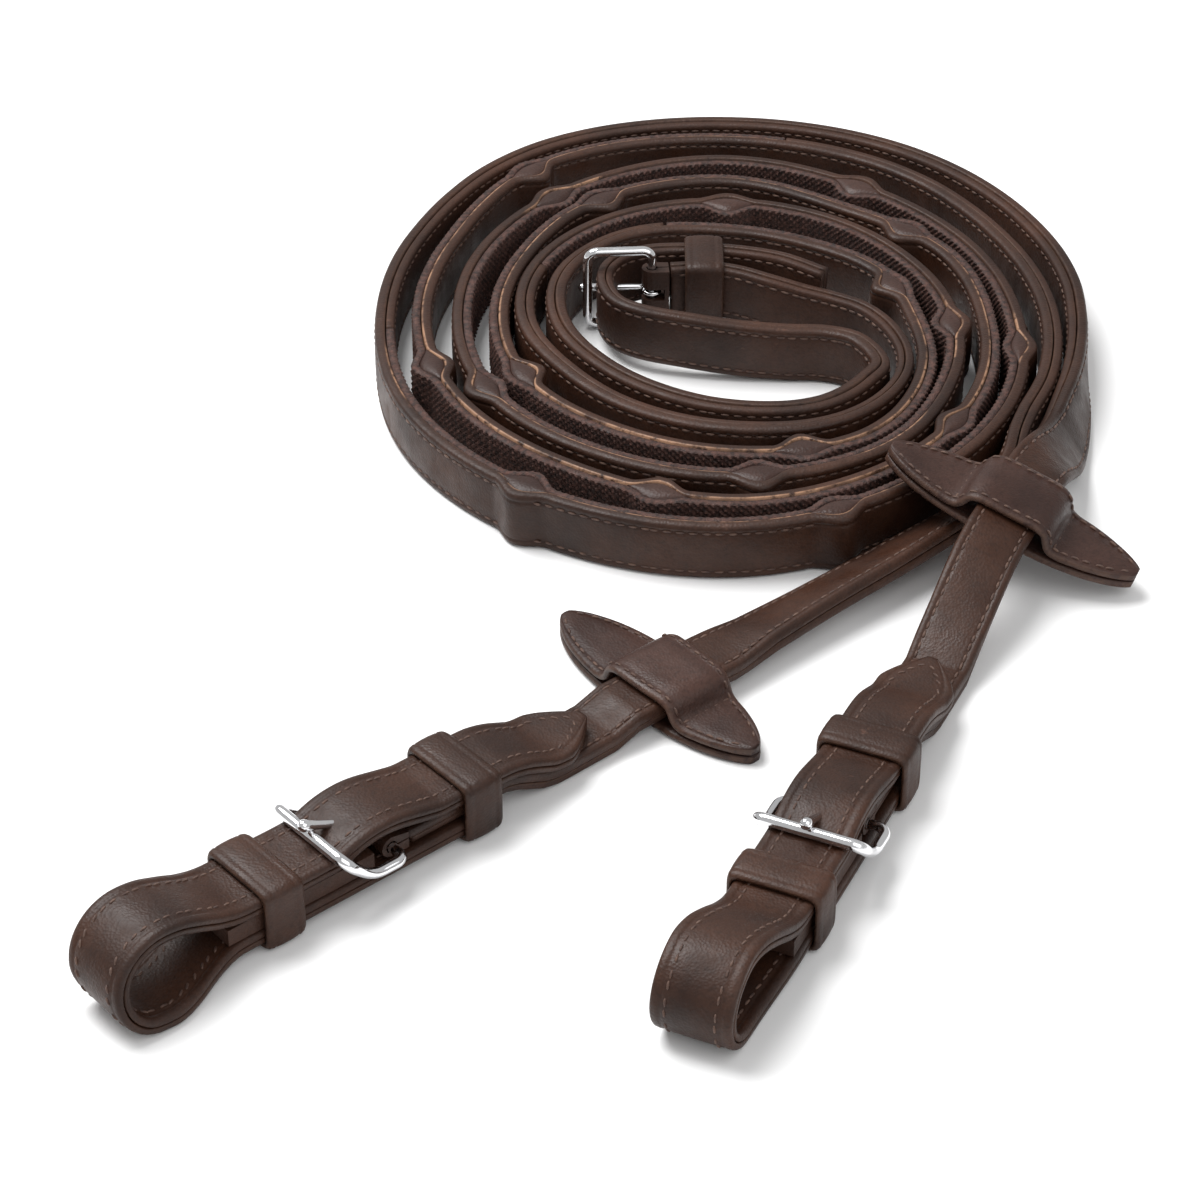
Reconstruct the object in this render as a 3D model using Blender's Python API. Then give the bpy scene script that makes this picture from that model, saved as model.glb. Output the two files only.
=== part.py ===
"""A pair of leather reins lying coiled on edge, in millimetres until the meshes are made.

Each half is a strap of a leather ply and a lining ply; a grip webbing replaces the lining
over the hand part, with nine hand stops under it. The halves meet at a buckle in the middle
of the coil, and each ends in a buckled billet with a loop for the bit.
"""

import math

import bmesh
import bpy
import numpy as np
from mathutils import Matrix, Vector

# Strap and ply sizes
STRAP_WIDTH = 16.0
LEATHER = 2.8
LINING = 2.3
BILLET_PLY = 1.8
TAB_PLY = 4.38
GAP = 0.3
HALF_GAP = GAP / 2
THIN = 0.8
HALF_WIDTH = STRAP_WIDTH / 2
BILLET_HALF = 9.5
LINING_HALF = HALF_WIDTH - 0.3
WEBBING_HALF = HALF_WIDTH - 0.6
# Hand stops: half length along the strap, half height across it
STOP_HALF = 8.5
STOP_HEIGHT = 7.2
# Buckles and keepers
WIRE = 1.3
BUCKLE_HALF = 12.6
BIT_BUCKLE_HALF = 14.3
BAR_REACH = 16.5
KEEPER_WIDTH = 10.5
KEEPER_WALL = 1.5
# Rein stops
REIN_STOP_HALF = 34.5
REIN_STOP_WIDTH = 10.5
REIN_STOP_PLY = 2.2

# Bit ends, measured along the strap from the far bar of the buckle, toward the loop
TIP = -80.0
LOWER_START = -47.0
REIN_END = -21.7
TAB_START = -11.0
TAB_END = 29.0
KEEPER_AT = 15.0
LOOP_MIDDLE = 12.0
LOWER_Z = 3.75
REIN_Z = 7.99
TOP_Z = 12.63
BASE_BAR_Z = 8.7
FAR_BAR_Z = 16.1

# The coil is drawn about this point, and angles run clockwise from +X
CENTRE = (35.0, 108.0)
# Everything is moved by this much, so that the box stands on the origin
SHIFT = (-9.854, -25.482, 0.0)

# Radius of the line between the plies, at every 30 degrees of each turn
RIGHT_TURNS = [
    [40.0, 52.1, 56.0, 53.0, 50.7, 50.3, 54.7, 58.3, 60.3, 60.0, 58.5, 57.3],
    [59.3, 64.3, 72.6, 74.7, 73.3, 73.0, 72.0, 75.3, 80.5, 84.3, 79.0, 76.3],
    [76.3, 81.8, 88.7, 96.3, 96.5, 95.0, 92.7, 96.5, 105.9, 106.9, 104.9, 98.6],
    [93.5],
]
LEFT_TURNS = [
    [45.5, 47.7, 43.9, 41.0, 41.7, 46.2, 51.0, 51.5, 46.5, 45.3, 48.6],
    [50.3, 58.4, 66.6, 65.3, 63.0, 63.0, 62.5, 65.0, 72.0, 74.0, 67.5, 69.8],
    [69.3, 74.3, 81.5, 87.0, 83.7, 83.2, 83.3, 87.0, 98.0, 98.0, 94.7, 88.0],
    [86.6, 88.6],
]

# Middle of the reins, from the end of each half: x, y, height of the lower edge
RIGHT_MIDDLE = [
    (19.4, 127.6, 3.4), (28.0, 128.3, 3.4), (37.0, 126.3, 3.4), (46.0, 122.8, 2.6),
    (55.0, 120.0, 1.2), (63.0, 117.6, 0.3), (70.2, 113.7, 0.0),
]
LEFT_MIDDLE = [
    (61.0, 127.0, 2.4), (50.0, 133.2, 3.2), (38.0, 136.7, 3.4), (26.0, 137.9, 3.4),
    (14.0, 137.2, 3.4), (6.0, 133.5, 3.4), (2.0, 127.0, 3.4), (1.8, 119.0, 3.4),
    (4.8, 111.5, 3.4), (11.0, 106.8, 3.4), (22.0, 103.8, 2.8), (36.0, 102.0, 1.4),
    (50.0, 101.5, 0.3), (60.5, 101.3, 0.0), (69.0, 97.5, 0.0),
]
# Base bar of the middle buckle, and how far the strap there stands off the floor
CENTRE_BAR = (14.2, 127.6)
MIDDLE_LIFT = 3.4
# Tails from the coil to the billet: x, y, roll in degrees, lift off the floor
RIGHT_TAIL = [
    (127.3, 92.0, 7, 0.0), (125.7, 80.3, 16, 0.0), (123.1, 68.8, 26, 0.0),
    (120.3, 58.3, 35, 0.3), (117.4, 48.0, 44, 4.0), (113.6, 38.4, 58, 9.2),
]
LEFT_TAIL = [
    (107.7, 54.4, 7, 0.0), (102.6, 42.4, 24, 0.0), (95.6, 30.9, 43, 0.0),
    (90.9, 25.3, 56, 0.0), (85.6, 20.5, 59, 0.0), (70.3, 6.7, 63, 0.0), (52.0, -9.2, 67, 0.0),
    (38.5, -20.8, 74, 0.4),
]
# Bit ends: x and y of the far bar, direction toward the loop
RIGHT_END = ((46.1, -108.1), (-0.419, -0.908))
LEFT_END = ((-64.3, -109.2), (-0.7596, -0.6504))
# Rein stops: place along the end's axis, roll, height of the ply line, how far the strap is off the middle
RIGHT_STOP = (-136.5, 71.5, 17.3, 0.0)
LEFT_STOP = (-106.0, 90.0, 4.95, 3.6)
STOP_SPAN = 15.5
# Runners on the two ends
RIGHT_RUNNER = -37.5
LEFT_RUNNER = -41.0
# Sideways set of the two loops: of the whole loop, and of its lower run against its upper run
RIGHT_LOOP = (-2.0, 0.5)
LEFT_LOOP = (3.6, 3.6)

# Hand stops: turn, angle, bulge on the webbing side, bulge on the leather side
RIGHT_HAND_STOPS = [
    (0, 271, 4.6, 2.6), (1, 3, 3.4, 2.5), (1, 86, 3.8, 4.4), (1, 152, 2.5, 3.6), (1, 233, 3.3, 2.8),
    (1, 299, 4.4, 3.4), (2, 11, 1.9, 2.2), (2, 75, 2.8, 3.4), (2, 124, 4.2, 3.2),
]
LEFT_HAND_STOPS = [
    (0, 340, 1.6, 4.6), (1, 75, 2.4, 4.6), (1, 153, 2.0, 4.4), (1, 241, 2.6, 4.6), (1, 318, 2.6, 4.4),
    (2, 42, 2.0, 2.9), (2, 104, 3.0, 4.0), (2, 163, 3.2, 3.2), (2, 235, 2.2, 4.6),
]
# Where the webbing takes over from the lining and where it ends: turn, angle
RIGHT_WEBBING = ((0, 208), (2, 176))
LEFT_WEBBING = ((0, 251), (2, 281))

COLOURS = {
    "leather": ((0.055, 0.035, 0.028), 0.5, 0.0),
    "lining": ((0.075, 0.050, 0.042), 0.65, 0.0),
    "webbing": ((0.045, 0.022, 0.020), 0.85, 0.0),
    "stops": ((0.065, 0.048, 0.046), 0.42, 0.0),
    "steel": ((0.78, 0.78, 0.80), 0.12, 1.0),
}


def clear_scene():
    for obj in list(bpy.data.objects):
        bpy.data.objects.remove(obj)


def material(name, kind):
    colour, roughness, metallic = COLOURS[kind]
    made = bpy.data.materials.new(name)
    made.use_nodes = True
    shader = made.node_tree.nodes["Principled BSDF"]
    shader.inputs["Base Color"].default_value = (*colour, 1.0)
    shader.inputs["Roughness"].default_value = roughness
    shader.inputs["Metallic"].default_value = metallic
    return made


def mesh_object(name, kind, points, faces, smooth=False):
    """A closed mesh from points in millimetres, with its faces turned outward."""
    moved = (np.array(points, float) + np.array(SHIFT)) * 0.001
    mesh = bpy.data.meshes.new(name)
    mesh.from_pydata([tuple(p) for p in moved], [], faces)
    made = bmesh.new()
    made.from_mesh(mesh)
    bmesh.ops.recalc_face_normals(made, faces=made.faces)
    made.to_mesh(mesh)
    made.free()
    mesh.polygons.foreach_set("use_smooth", [smooth] * len(mesh.polygons))
    mesh.materials.append(material(name, kind))
    obj = bpy.data.objects.new(name, mesh)
    bpy.context.collection.objects.link(obj)
    return obj


def loft(name, kind, rings, closed=False, smooth=False):
    """Skins a row of rings that have the same number of points."""
    count = len(rings[0])
    points = [p for ring in rings for p in ring]
    faces = []
    last = len(rings) if closed else len(rings) - 1
    for i in range(last):
        a, b = i * count, (i + 1) % len(rings) * count
        for j in range(count):
            k = (j + 1) % count
            faces.append((a + j, a + k, b + k, b + j))
    if not closed:
        faces.append(tuple(range(count)))
        faces.append(tuple(reversed(range(len(points) - count, len(points)))))
    return mesh_object(name, kind, points, faces, smooth)


def cut(obj, cutter):
    """Takes the cutter out of the object and removes it."""
    change = obj.modifiers.new("cut", "BOOLEAN")
    change.operation = "DIFFERENCE"
    change.solver = "EXACT"
    change.object = cutter
    bpy.context.view_layer.update()
    graph = bpy.context.evaluated_depsgraph_get()
    result = bpy.data.meshes.new_from_object(obj.evaluated_get(graph))
    obj.modifiers.clear()
    obj.data = result
    bpy.data.objects.remove(cutter)


def tube(name, path, radii, across, sides=8, closed=False):
    """A round bar along a path; across is a direction that the path never follows."""
    path = np.array(path, float)
    ends = np.roll(path, -1, 0) - np.roll(path, 1, 0)
    if not closed:
        ends[0], ends[-1] = path[1] - path[0], path[-1] - path[-2]
    rings = []
    for point, along, radius in zip(path, ends, radii):
        along = along / np.linalg.norm(along)
        one = np.cross(along, across(along))
        one /= np.linalg.norm(one)
        two = np.cross(along, one)
        turns = [2 * math.pi * (k + 0.5) / sides for k in range(sides)]
        rings.append([point + radius * (math.cos(a) * one + math.sin(a) * two) for a in turns])
    return loft(name, "steel", rings, closed, True)


def spline(points, step=1.0):
    """A smooth line through the points (Catmull-Rom), sampled about every millimetre."""
    points = np.array(points, float)
    before = 2 * points[0] - points[1]
    after = 2 * points[-1] - points[-2]
    ctrl = np.vstack([before, points, after])
    out = []
    for a, b, c, d in zip(ctrl, ctrl[1:], ctrl[2:], ctrl[3:]):
        knots = [0.0]
        for p, q in ((a, b), (b, c), (c, d)):
            knots.append(knots[-1] + max(np.linalg.norm((q - p)[:2]), 1e-6) ** 0.5)
        t0, t1, t2, t3 = knots
        count = max(2, int(np.linalg.norm((c - b)[:2]) / step))
        for t in np.linspace(t1, t2, count, endpoint=False):
            p1 = (t1 - t) / (t1 - t0) * a + (t - t0) / (t1 - t0) * b
            p2 = (t2 - t) / (t2 - t1) * b + (t - t1) / (t2 - t1) * c
            p3 = (t3 - t) / (t3 - t2) * c + (t - t2) / (t3 - t2) * d
            q1 = (t2 - t) / (t2 - t0) * p1 + (t - t0) / (t2 - t0) * p2
            q2 = (t3 - t) / (t3 - t1) * p2 + (t - t1) / (t3 - t1) * p3
            out.append((t2 - t) / (t2 - t1) * q1 + (t - t1) / (t2 - t1) * q2)
    out.append(points[-1])
    return np.array(out)


def on_turn(angle, radius):
    """The point at this angle, clockwise from +X about the coil's centre."""
    a = math.radians(angle)
    return CENTRE[0] + radius * math.cos(a), CENTRE[1] - radius * math.sin(a)


def turn_radii(turns, first_angle):
    """Angles, counted on through the turns, and radii at every 30 degrees."""
    flat = [r for turn in turns for r in turn]
    angles = [first_angle + 30 * i for i in range(len(flat))]
    return angles, flat


def coil_points(turns, first_angle):
    """Points of the coil every 10 degrees, as x, y, roll, lift."""
    angles, radii = turn_radii(turns, first_angle)
    line = spline([(a, r) for a, r in zip(angles, radii)], 5.0)
    wanted = np.arange(angles[0], angles[-1] + 1, 10)
    return [(*on_turn(a, np.interp(a, line[:, 0], line[:, 1])), 0.0, 0.0) for a in wanted]


def end_point(end, u, v=0.0):
    """A point in plan at distance u along a bit end's axis and v to its left."""
    (x, y), (dx, dy) = end
    return x + dx * u - dy * v, y + dy * u + dx * v


class Station:
    """One cross-section of a strap: place, the way its leather faces, the way its width runs."""

    def __init__(self, point, face, width, thin=1.0):
        self.point = np.array(point, float)
        self.face = face
        self.width = width
        self.thin = thin
        self.leather_out = 0.0
        self.lining_out = 0.0

    def at(self, out, across):
        return self.point + self.face * out + self.width * across


def stations_from(line, side, thins):
    """Cross-sections at each row of a line of x, y, z, roll. side is +1 for leather on the left."""
    made = []
    for i, (row, thin) in enumerate(zip(line, thins)):
        a, b = line[max(i - 1, 0)], line[min(i + 1, len(line) - 1)]
        along = (b - a)[:3] / np.linalg.norm((b - a)[:3])
        flat = np.array([-along[1], along[0], 0.0]) * side
        flat /= np.linalg.norm(flat)
        up = np.cross(along, flat) * side
        roll = math.radians(row[3])
        face = flat * math.cos(roll) + up * math.sin(roll)
        width = up * math.cos(roll) - flat * math.sin(roll)
        made.append(Station(row[:3], face, width, thin))
    return made


def bump(u):
    return math.cos(math.pi / 2 * u) ** 2 if abs(u) < 1 else 0.0


def angle_along(line, first_turn_angle):
    """Angle about the coil's centre at each row, counted on through the turns."""
    raw = np.arctan2(CENTRE[1] - line[:, 1], line[:, 0] - CENTRE[0])
    return np.degrees(np.unwrap(raw)) + first_turn_angle


class Half:
    """One half of the reins, from the middle buckle to its rein end."""

    def __init__(self, name, side, middle, turns, first_angle, tail, end, stop, hand_stops, webbing):
        self.name, self.side, self.end, self.stop = name, side, end, stop
        rows = [(x, y, 0.0, z) for x, y, z in middle]
        rows += coil_points(turns, first_angle)
        rows += tail
        line = spline(rows)
        tilt = math.radians(stop[1])
        lift = stop[2] - HALF_WIDTH * math.cos(tilt) - (LINING + HALF_GAP) * math.sin(tilt)
        stop_rows = [(*end_point(end, stop[0] + du), stop[1], lift) for du in (-STOP_SPAN, STOP_SPAN)]
        line = np.vstack([line[:-1], spline([rows[-2], rows[-1], *stop_rows])[self.skip(rows):]])
        self.line = self.heights(line)
        self.place_stations(len(middle), hand_stops, webbing, rows)

    @staticmethod
    def skip(rows):
        a, b = np.array(rows[-2][:2]), np.array(rows[-1][:2])
        return max(2, int(np.linalg.norm(b - a)))

    def heights(self, line):
        """Rows of x, y, z, roll: a strap on edge stands on its edge, a flat one lies on its lining."""
        line[:, 2:] = np.clip(line[:, 2:], 0.0, (90.0, 20.0))
        roll = np.radians(line[:, 2])
        z = HALF_WIDTH * np.cos(roll) + (LINING + HALF_GAP) * np.sin(roll) + line[:, 3]
        return np.column_stack([line[:, 0], line[:, 1], z, line[:, 2]])

    def place_stations(self, middle_count, hand_stops, webbing, rows):
        line = self.line
        length = np.concatenate([[0], np.cumsum(np.linalg.norm(np.diff(line[:, :3], axis=0), axis=1))])
        angle = angle_along(line, 0.0)
        start = np.searchsorted(length, 120.0)
        angle -= 360 * round((angle[start] - angle[start] % 360) / 360)
        after = np.arange(len(line)) > start
        self.length_at = lambda turn, a: float(
            np.interp(turn * 360 + a, angle[after], length[after])
        )
        heading = np.degrees(np.unwrap(np.arctan2(np.gradient(line[:, 1]), np.gradient(line[:, 0]))))
        picks, last = [0.0], 0
        for i in range(1, len(line)):
            turned = abs(heading[i] - heading[last])
            if turned > 9.5 or length[i] - length[last] > 15.0:
                picks.append(length[i])
                last = i
        stop_end = length[-1]
        picks = [s for s in picks if s < stop_end - 4] + [stop_end]
        picks.append(stop_end - 2 * STOP_SPAN)
        self.bulges = []
        for turn, a, inward, outward in hand_stops:
            centre = self.length_at(turn, a)
            self.bulges.append((centre, inward, outward))
            picks = [s for s in picks if abs(s - centre) > STOP_HALF + 2.5]
            picks += [centre + STOP_HALF * u for u in np.linspace(-1, 1, 9)]
        self.web_from = self.length_at(*webbing[0])
        self.web_to = self.length_at(*webbing[1])
        for edge in (self.web_from, self.web_to):
            picks = [s for s in picks if abs(s - edge) > 2.0]
            picks += [edge - HALF_GAP, edge + HALF_GAP]
        picks = np.array(sorted(picks))
        picks = picks[np.concatenate([[True], np.diff(picks) > 0.2])]
        at = np.column_stack([np.interp(picks, length, line[:, k]) for k in range(4)])
        thins = np.clip(np.interp(picks, [0, 90, 150], [THIN, THIN, 1.0]), THIN, 1.0)
        self.fine = stations_from(line, self.side, np.ones(len(line)))
        self.stations = []
        for s, row, thin in zip(picks, at, thins):
            near = self.fine[int(np.argmin(abs(length - s)))]
            made = Station(row[:3], near.face, near.width, thin)
            for centre, inward, outward in self.bulges:
                lift = bump((s - centre) / STOP_HALF)
                made.leather_out += outward * lift
                made.lining_out += inward * lift
            self.stations.append(made)
        self.picks = picks
        self.coil_length = stop_end
        self.add_end_stations()

    def add_end_stations(self):
        """The flat run from the rein stop to the buckle, as distance along the end, height, thinning."""
        floor = LINING + HALF_GAP
        stop_u, roll, _, _ = self.stop
        lifted = self.line[-1][2]
        rows = []
        first = stop_u + STOP_SPAN
        if lifted > floor + 4:
            rows += [(first + 8, lifted - 1.6, roll + 2, 1.0), (first + 16, lifted - 4.8, roll + 6, 1.0)]
            rows += [(first + 24, lifted - 8.6, roll + 11, 1.0), (first + 31, lifted - 11.6, roll + 15, 1.0)]
            rows += [(first + 37.5, floor, 90, 1.0)]
        else:
            rows += [(first + 7, floor + 0.3, 90, 1.0)]
        rows += [(-70.0, floor, 90, 1.0), (-66.0, floor, 90, 1.0), (-62.0, 3.2, 90, 0.96)]
        rows += [(-58.0, 5.0, 90, 0.91), (-54.0, 6.8, 90, 0.86), (-50.5, 7.8, 90, 0.81)]
        rows += [(-48.0, REIN_Z, 90, THIN), (REIN_END, REIN_Z, 90, THIN)]
        line = np.array([(*end_point(self.end, u), z, r) for u, z, r, _ in rows])
        joined = np.vstack([self.line[-2:], line])
        made = stations_from(joined, self.side, [1.0, 1.0] + [t for *_, t in rows])[2:]
        self.end_rows = [(u, station) for (u, *_), station in zip(rows, made)]
        self.stations += made
        extra = np.linalg.norm(np.diff(np.vstack([self.line[-1:], line])[:, :3], axis=0), axis=1)
        self.picks = np.concatenate([self.picks, self.coil_length + np.cumsum(extra)])
        self.length = float(self.picks[-1])

    def ply(self, name, kind, chosen, low, high, half):
        """A ply between two distances from the ply line, on the chosen stations."""
        rings = []
        for station in chosen:
            a, b = low(station), high(station)
            h = half
            rings.append([station.at(a, -h), station.at(b, -h), station.at(b, h), station.at(a, h)])
        return loft(f"{self.name}_{name}", kind, rings)

    def between(self, start, stop):
        return [s for s, at in zip(self.stations, self.picks) if start - 0.01 <= at <= stop + 0.01]

    def build_straps(self):
        out = lambda s: s.leather_out + HALF_GAP
        self.ply("rein_leather", "leather", self.stations, out, lambda s: out(s) + LEATHER * s.thin, HALF_WIDTH)
        back = lambda s: -s.lining_out - HALF_GAP
        far = lambda s: back(s) - LINING * s.thin
        spans = [
            ("inner_lining", "lining", 0.0, self.web_from - HALF_GAP, LINING_HALF),
            ("grip_webbing", "webbing", self.web_from + HALF_GAP, self.web_to - HALF_GAP, WEBBING_HALF),
            ("tail_lining", "lining", self.web_to + HALF_GAP, self.length, LINING_HALF),
        ]
        for name, kind, start, stop, half in spans:
            self.ply(name, kind, self.between(start, stop), far, back, half)

    def build_hand_stops(self):
        for number, (centre, _, _) in enumerate(self.bulges, 1):
            reach = 0.76 * STOP_HALF
            chosen = self.between(centre - reach, centre + reach)
            self.ply(
                f"hand_stop_{number}", "stops", chosen,
                lambda s: -s.lining_out + HALF_GAP, lambda s: s.leather_out - HALF_GAP, STOP_HEIGHT,
            )


def rounded(half_x, half_y, cut_off):
    """A box outline with two points on each corner."""
    x, y, c = half_x, half_y, cut_off
    return [(x - c, -y), (x, -y + c), (x, y - c), (x - c, y), (-x + c, y), (-x, y - c), (-x, -y + c), (-x + c, -y)]


def keeper(name, place, half_x, half_y, width):
    """A band of leather round the plies. place(x, y, along) gives the point in the room."""
    inner = rounded(half_x, half_y, 0.6)
    outer = rounded(half_x + KEEPER_WALL, half_y + KEEPER_WALL, 1.5)
    rings = []
    for (ax, ay), (bx, by) in zip(inner, outer):
        half = width / 2
        rings.append([place(ax, ay, -half), place(ax, ay, half), place(bx, by, half), place(bx, by, -half)])
    return loft(name, "leather", rings, closed=True)


def extrude(name, kind, outline, low, high):
    """An outline carried from low to high; each point of it is a function of the depth."""
    return loft(name, kind, [[p(low) for p in outline], [p(high) for p in outline]])


def box_cutter(corner_of, lows, highs):
    """A hidden box; corner_of maps a local corner to the room."""
    (a, b, c), (d, e, f) = lows, highs
    low = [(a, b, c), (d, b, c), (d, e, c), (a, e, c)]
    high = [(x, y, f) for x, y, _ in low]
    made = loft("cutter", "steel", [[corner_of(*p) for p in low], [corner_of(*p) for p in high]])
    made.hide_render = True
    made.display_type = "WIRE"
    return made


def c_outline(bar, reach, open_end, leg_top):
    """Outline of a fold round a bar, as (along, up) pairs: it is open toward open_end."""
    bx, bz = bar
    outer, inner = reach
    points = [(open_end, bz - outer), (bx, bz - outer)]
    points += [(bx + outer * math.cos(a), bz + outer * math.sin(a)) for a in np.radians([-60, -30, 0, 30, 60])]
    points += [(bx, bz + outer), (open_end, bz + leg_top), (open_end, bz + HALF_GAP)]
    points += [(bx + inner * math.cos(a), bz + inner * math.sin(a)) for a in np.radians(range(172, -180, -43))]
    points += [(open_end, bz - HALF_GAP)]
    return points


def hook_path(bar, radius, first, leave, target, steps=4):
    """A prong in its own plane: it wraps the bar clockwise from first to leave, then runs to the target."""
    bx, bz = bar
    arc = [(bx + radius * math.cos(a), bz + radius * math.sin(a)) for a in np.radians(np.linspace(first, leave, 9))]
    start = np.array(arc[-1])
    rest = [tuple(start + (np.array(target) - start) * k / steps) for k in range(1, steps + 1)]
    return arc + rest


def frame_path(half, reach, drop):
    """Half a buckle frame from the middle of the far bar to the middle of the base bar: across, along, drop."""
    side = half - WIRE
    shape = [(0, 0), (side - 2.4, 0), (side - 0.7, -0.05), (side, -0.18), (side, -0.5), (side, -0.82)]
    shape += [(side - 0.7, -0.96), (side - 2.2, -1), (0, -1)]
    return [(v, u * reach, -drop * math.sin(math.pi / 2 * min(1.0, -u / 0.62))) for v, u in shape]


class BitEnd:
    """The billet, buckle, keepers and tab at the free end of one half."""

    def __init__(self, half, runner, loop):
        self.half, self.end, self.name, self.runner, self.loop = half, half.end, half.name, runner, loop
        dx, dy = self.end[1]
        self.along = np.array([dx, dy, 0.0])
        self.left = np.array([-dy, dx, 0.0])

    def at(self, u, v, z):
        x, y = end_point(self.end, u, v)
        return np.array([x, y, z])

    def bend(self, u, z):
        """Sideways set of the loop at this place and height."""
        t = min(1.0, max(0.0, (u - 25.0) / 24.0))
        return (self.loop[0] + self.loop[1] * (LOOP_MIDDLE - z) / 10.0) * t * t * (3 - 2 * t)

    def billet_line(self):
        """(along, up) points of the billet's ply line, from its sewn end round the loop to its tip."""
        lower = [(u, LOWER_Z) for u in (LOWER_START, -20.0, 0.0, 14.0, 26.0)]
        loop = [(34.0, 3.0), (42.0, 2.2), (49.5, 1.95), (55.0, 2.9), (58.4, 6.0), (59.3, 10.0), (57.8, 14.0)]
        loop += [(54.0, 17.4), (48.5, 19.3), (42.0, 19.0), (36.0, 16.9), (30.5, 14.3)]
        upper = [(25.0, TOP_Z), (12.0, TOP_Z), (1.0, TOP_Z), (-2.0, 12.9), (-5.0, 14.1), (-8.0, 15.1), (-11.5, 15.7)]
        upper += [(-15.0, 15.8), (-18.5, 15.4), (-22.0, 14.6), (-26.0, 13.6), (-30.0, TOP_Z + 0.1), (-33.0, TOP_Z)]
        over = HALF_GAP + GAP + BILLET_PLY + HALF_GAP
        for u, station in reversed(self.half.end_rows):
            if -50 < u < -40 or -68 < u <= -50:
                raised = station.point + station.face * (over + LEATHER * station.thin)
                upper.append((float((raised[:2] - self.end[0]) @ self.end[1]), raised[2]))
        high = upper[-1][1]
        upper += [(-72.0, high), (-75.5, high), (-78.0, high), (-79.4, high), (TIP, high)]
        return lower + loop + upper

    @staticmethod
    def tip_half(u, top):
        """Half width of the billet: it narrows to a point at its free end."""
        near = (u - TIP) / 12.0
        if not top or near >= 1:
            return BILLET_HALF
        return 0.9 + (BILLET_HALF - 0.9) * math.sin(math.pi / 2 * near) ** 0.75

    def billet_ply(self, name, low, high):
        line = np.array(self.billet_line())
        ends = np.gradient(line, axis=0)
        top_run = int(np.argmax(line[:, 0]))
        rings = []
        for i, (point, step) in enumerate(zip(line, ends)):
            step = step / np.linalg.norm(step)
            out = np.array([step[1], -step[0]])
            half = self.tip_half(point[0], i > top_run)
            shift = self.bend(*point)
            a, b = point + out * low, point + out * high
            rings.append([
                self.at(a[0], shift - half, a[1]), self.at(b[0], shift - half, b[1]),
                self.at(b[0], shift + half, b[1]), self.at(a[0], shift + half, a[1]),
            ])
        made = loft(f"{self.name}_{name}", "leather", rings)
        cut(made, box_cutter(self.at, (-18.5, -1.6, 11.0), (-2.2, 1.6, 20.0)))

    def build(self):
        name = self.name
        self.billet_ply("billet", HALF_GAP, HALF_GAP + BILLET_PLY)
        self.billet_ply("billet_lining", -HALF_GAP - BILLET_PLY, -HALF_GAP)
        bottom = REIN_Z - HALF_GAP - LINING * THIN
        outline = [(TAB_START, bottom), (TAB_END, bottom), (TAB_END, bottom + TAB_PLY), (TAB_START, bottom + TAB_PLY)]
        outline = [lambda v, p=p: self.at(p[0], v, p[1]) for p in outline]
        extrude(f"{name}_keeper_tab", "leather", outline, -BILLET_HALF + 0.7, BILLET_HALF - 0.7)
        bar = (-BAR_REACH, BASE_BAR_Z)
        outline = [lambda v, p=p: self.at(p[0], v, p[1]) for p in c_outline(bar, (2.7, 1.6), -21.4, 1.7)]
        fold = extrude(f"{name}_buckle_fold", "leather", outline, -HALF_WIDTH, HALF_WIDTH)
        cut(fold, box_cutter(self.at, (-19.7, -1.7, 4.0), (-9.5, 1.7, 13.0)))
        side = frame_path(BIT_BUCKLE_HALF, BAR_REACH, FAR_BAR_Z - BASE_BAR_Z)
        path = side[:-1] + [(-v, u, d) for v, u, d in reversed(side)][:-1]
        path = [self.at(u, v, FAR_BAR_Z + d) for v, u, d in path]
        up = np.array([0.0, 0.0, 1.0])
        tube(f"{name}_bit_buckle", path, [WIRE] * len(path), lambda along: up, closed=True)
        hook = hook_path(bar, 2.1, 376, 117, (0.4, 19.05))
        hook.append((1.9, 19.8))
        radii = [0.6] * 8 + [0.65, 0.85, 1.0, 1.0, 1.45, 0.8]
        tube(f"{name}_bit_prong", [self.at(u, 0.0, z) for u, z in hook], radii, lambda along: self.left)
        low, high = LOWER_Z - HALF_GAP - BILLET_PLY, TOP_Z + HALF_GAP + BILLET_PLY
        half_y = (high - low) / 2 + GAP
        for label, u in (("bit_keeper", KEEPER_AT), ("bit_runner", self.runner)):
            place = lambda x, y, along, u=u: self.at(u + along, x, (low + high) / 2 + y)
            keeper(f"{name}_{label}", place, BILLET_HALF + 0.4, half_y, KEEPER_WIDTH)
        self.build_rein_stop()

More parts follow.
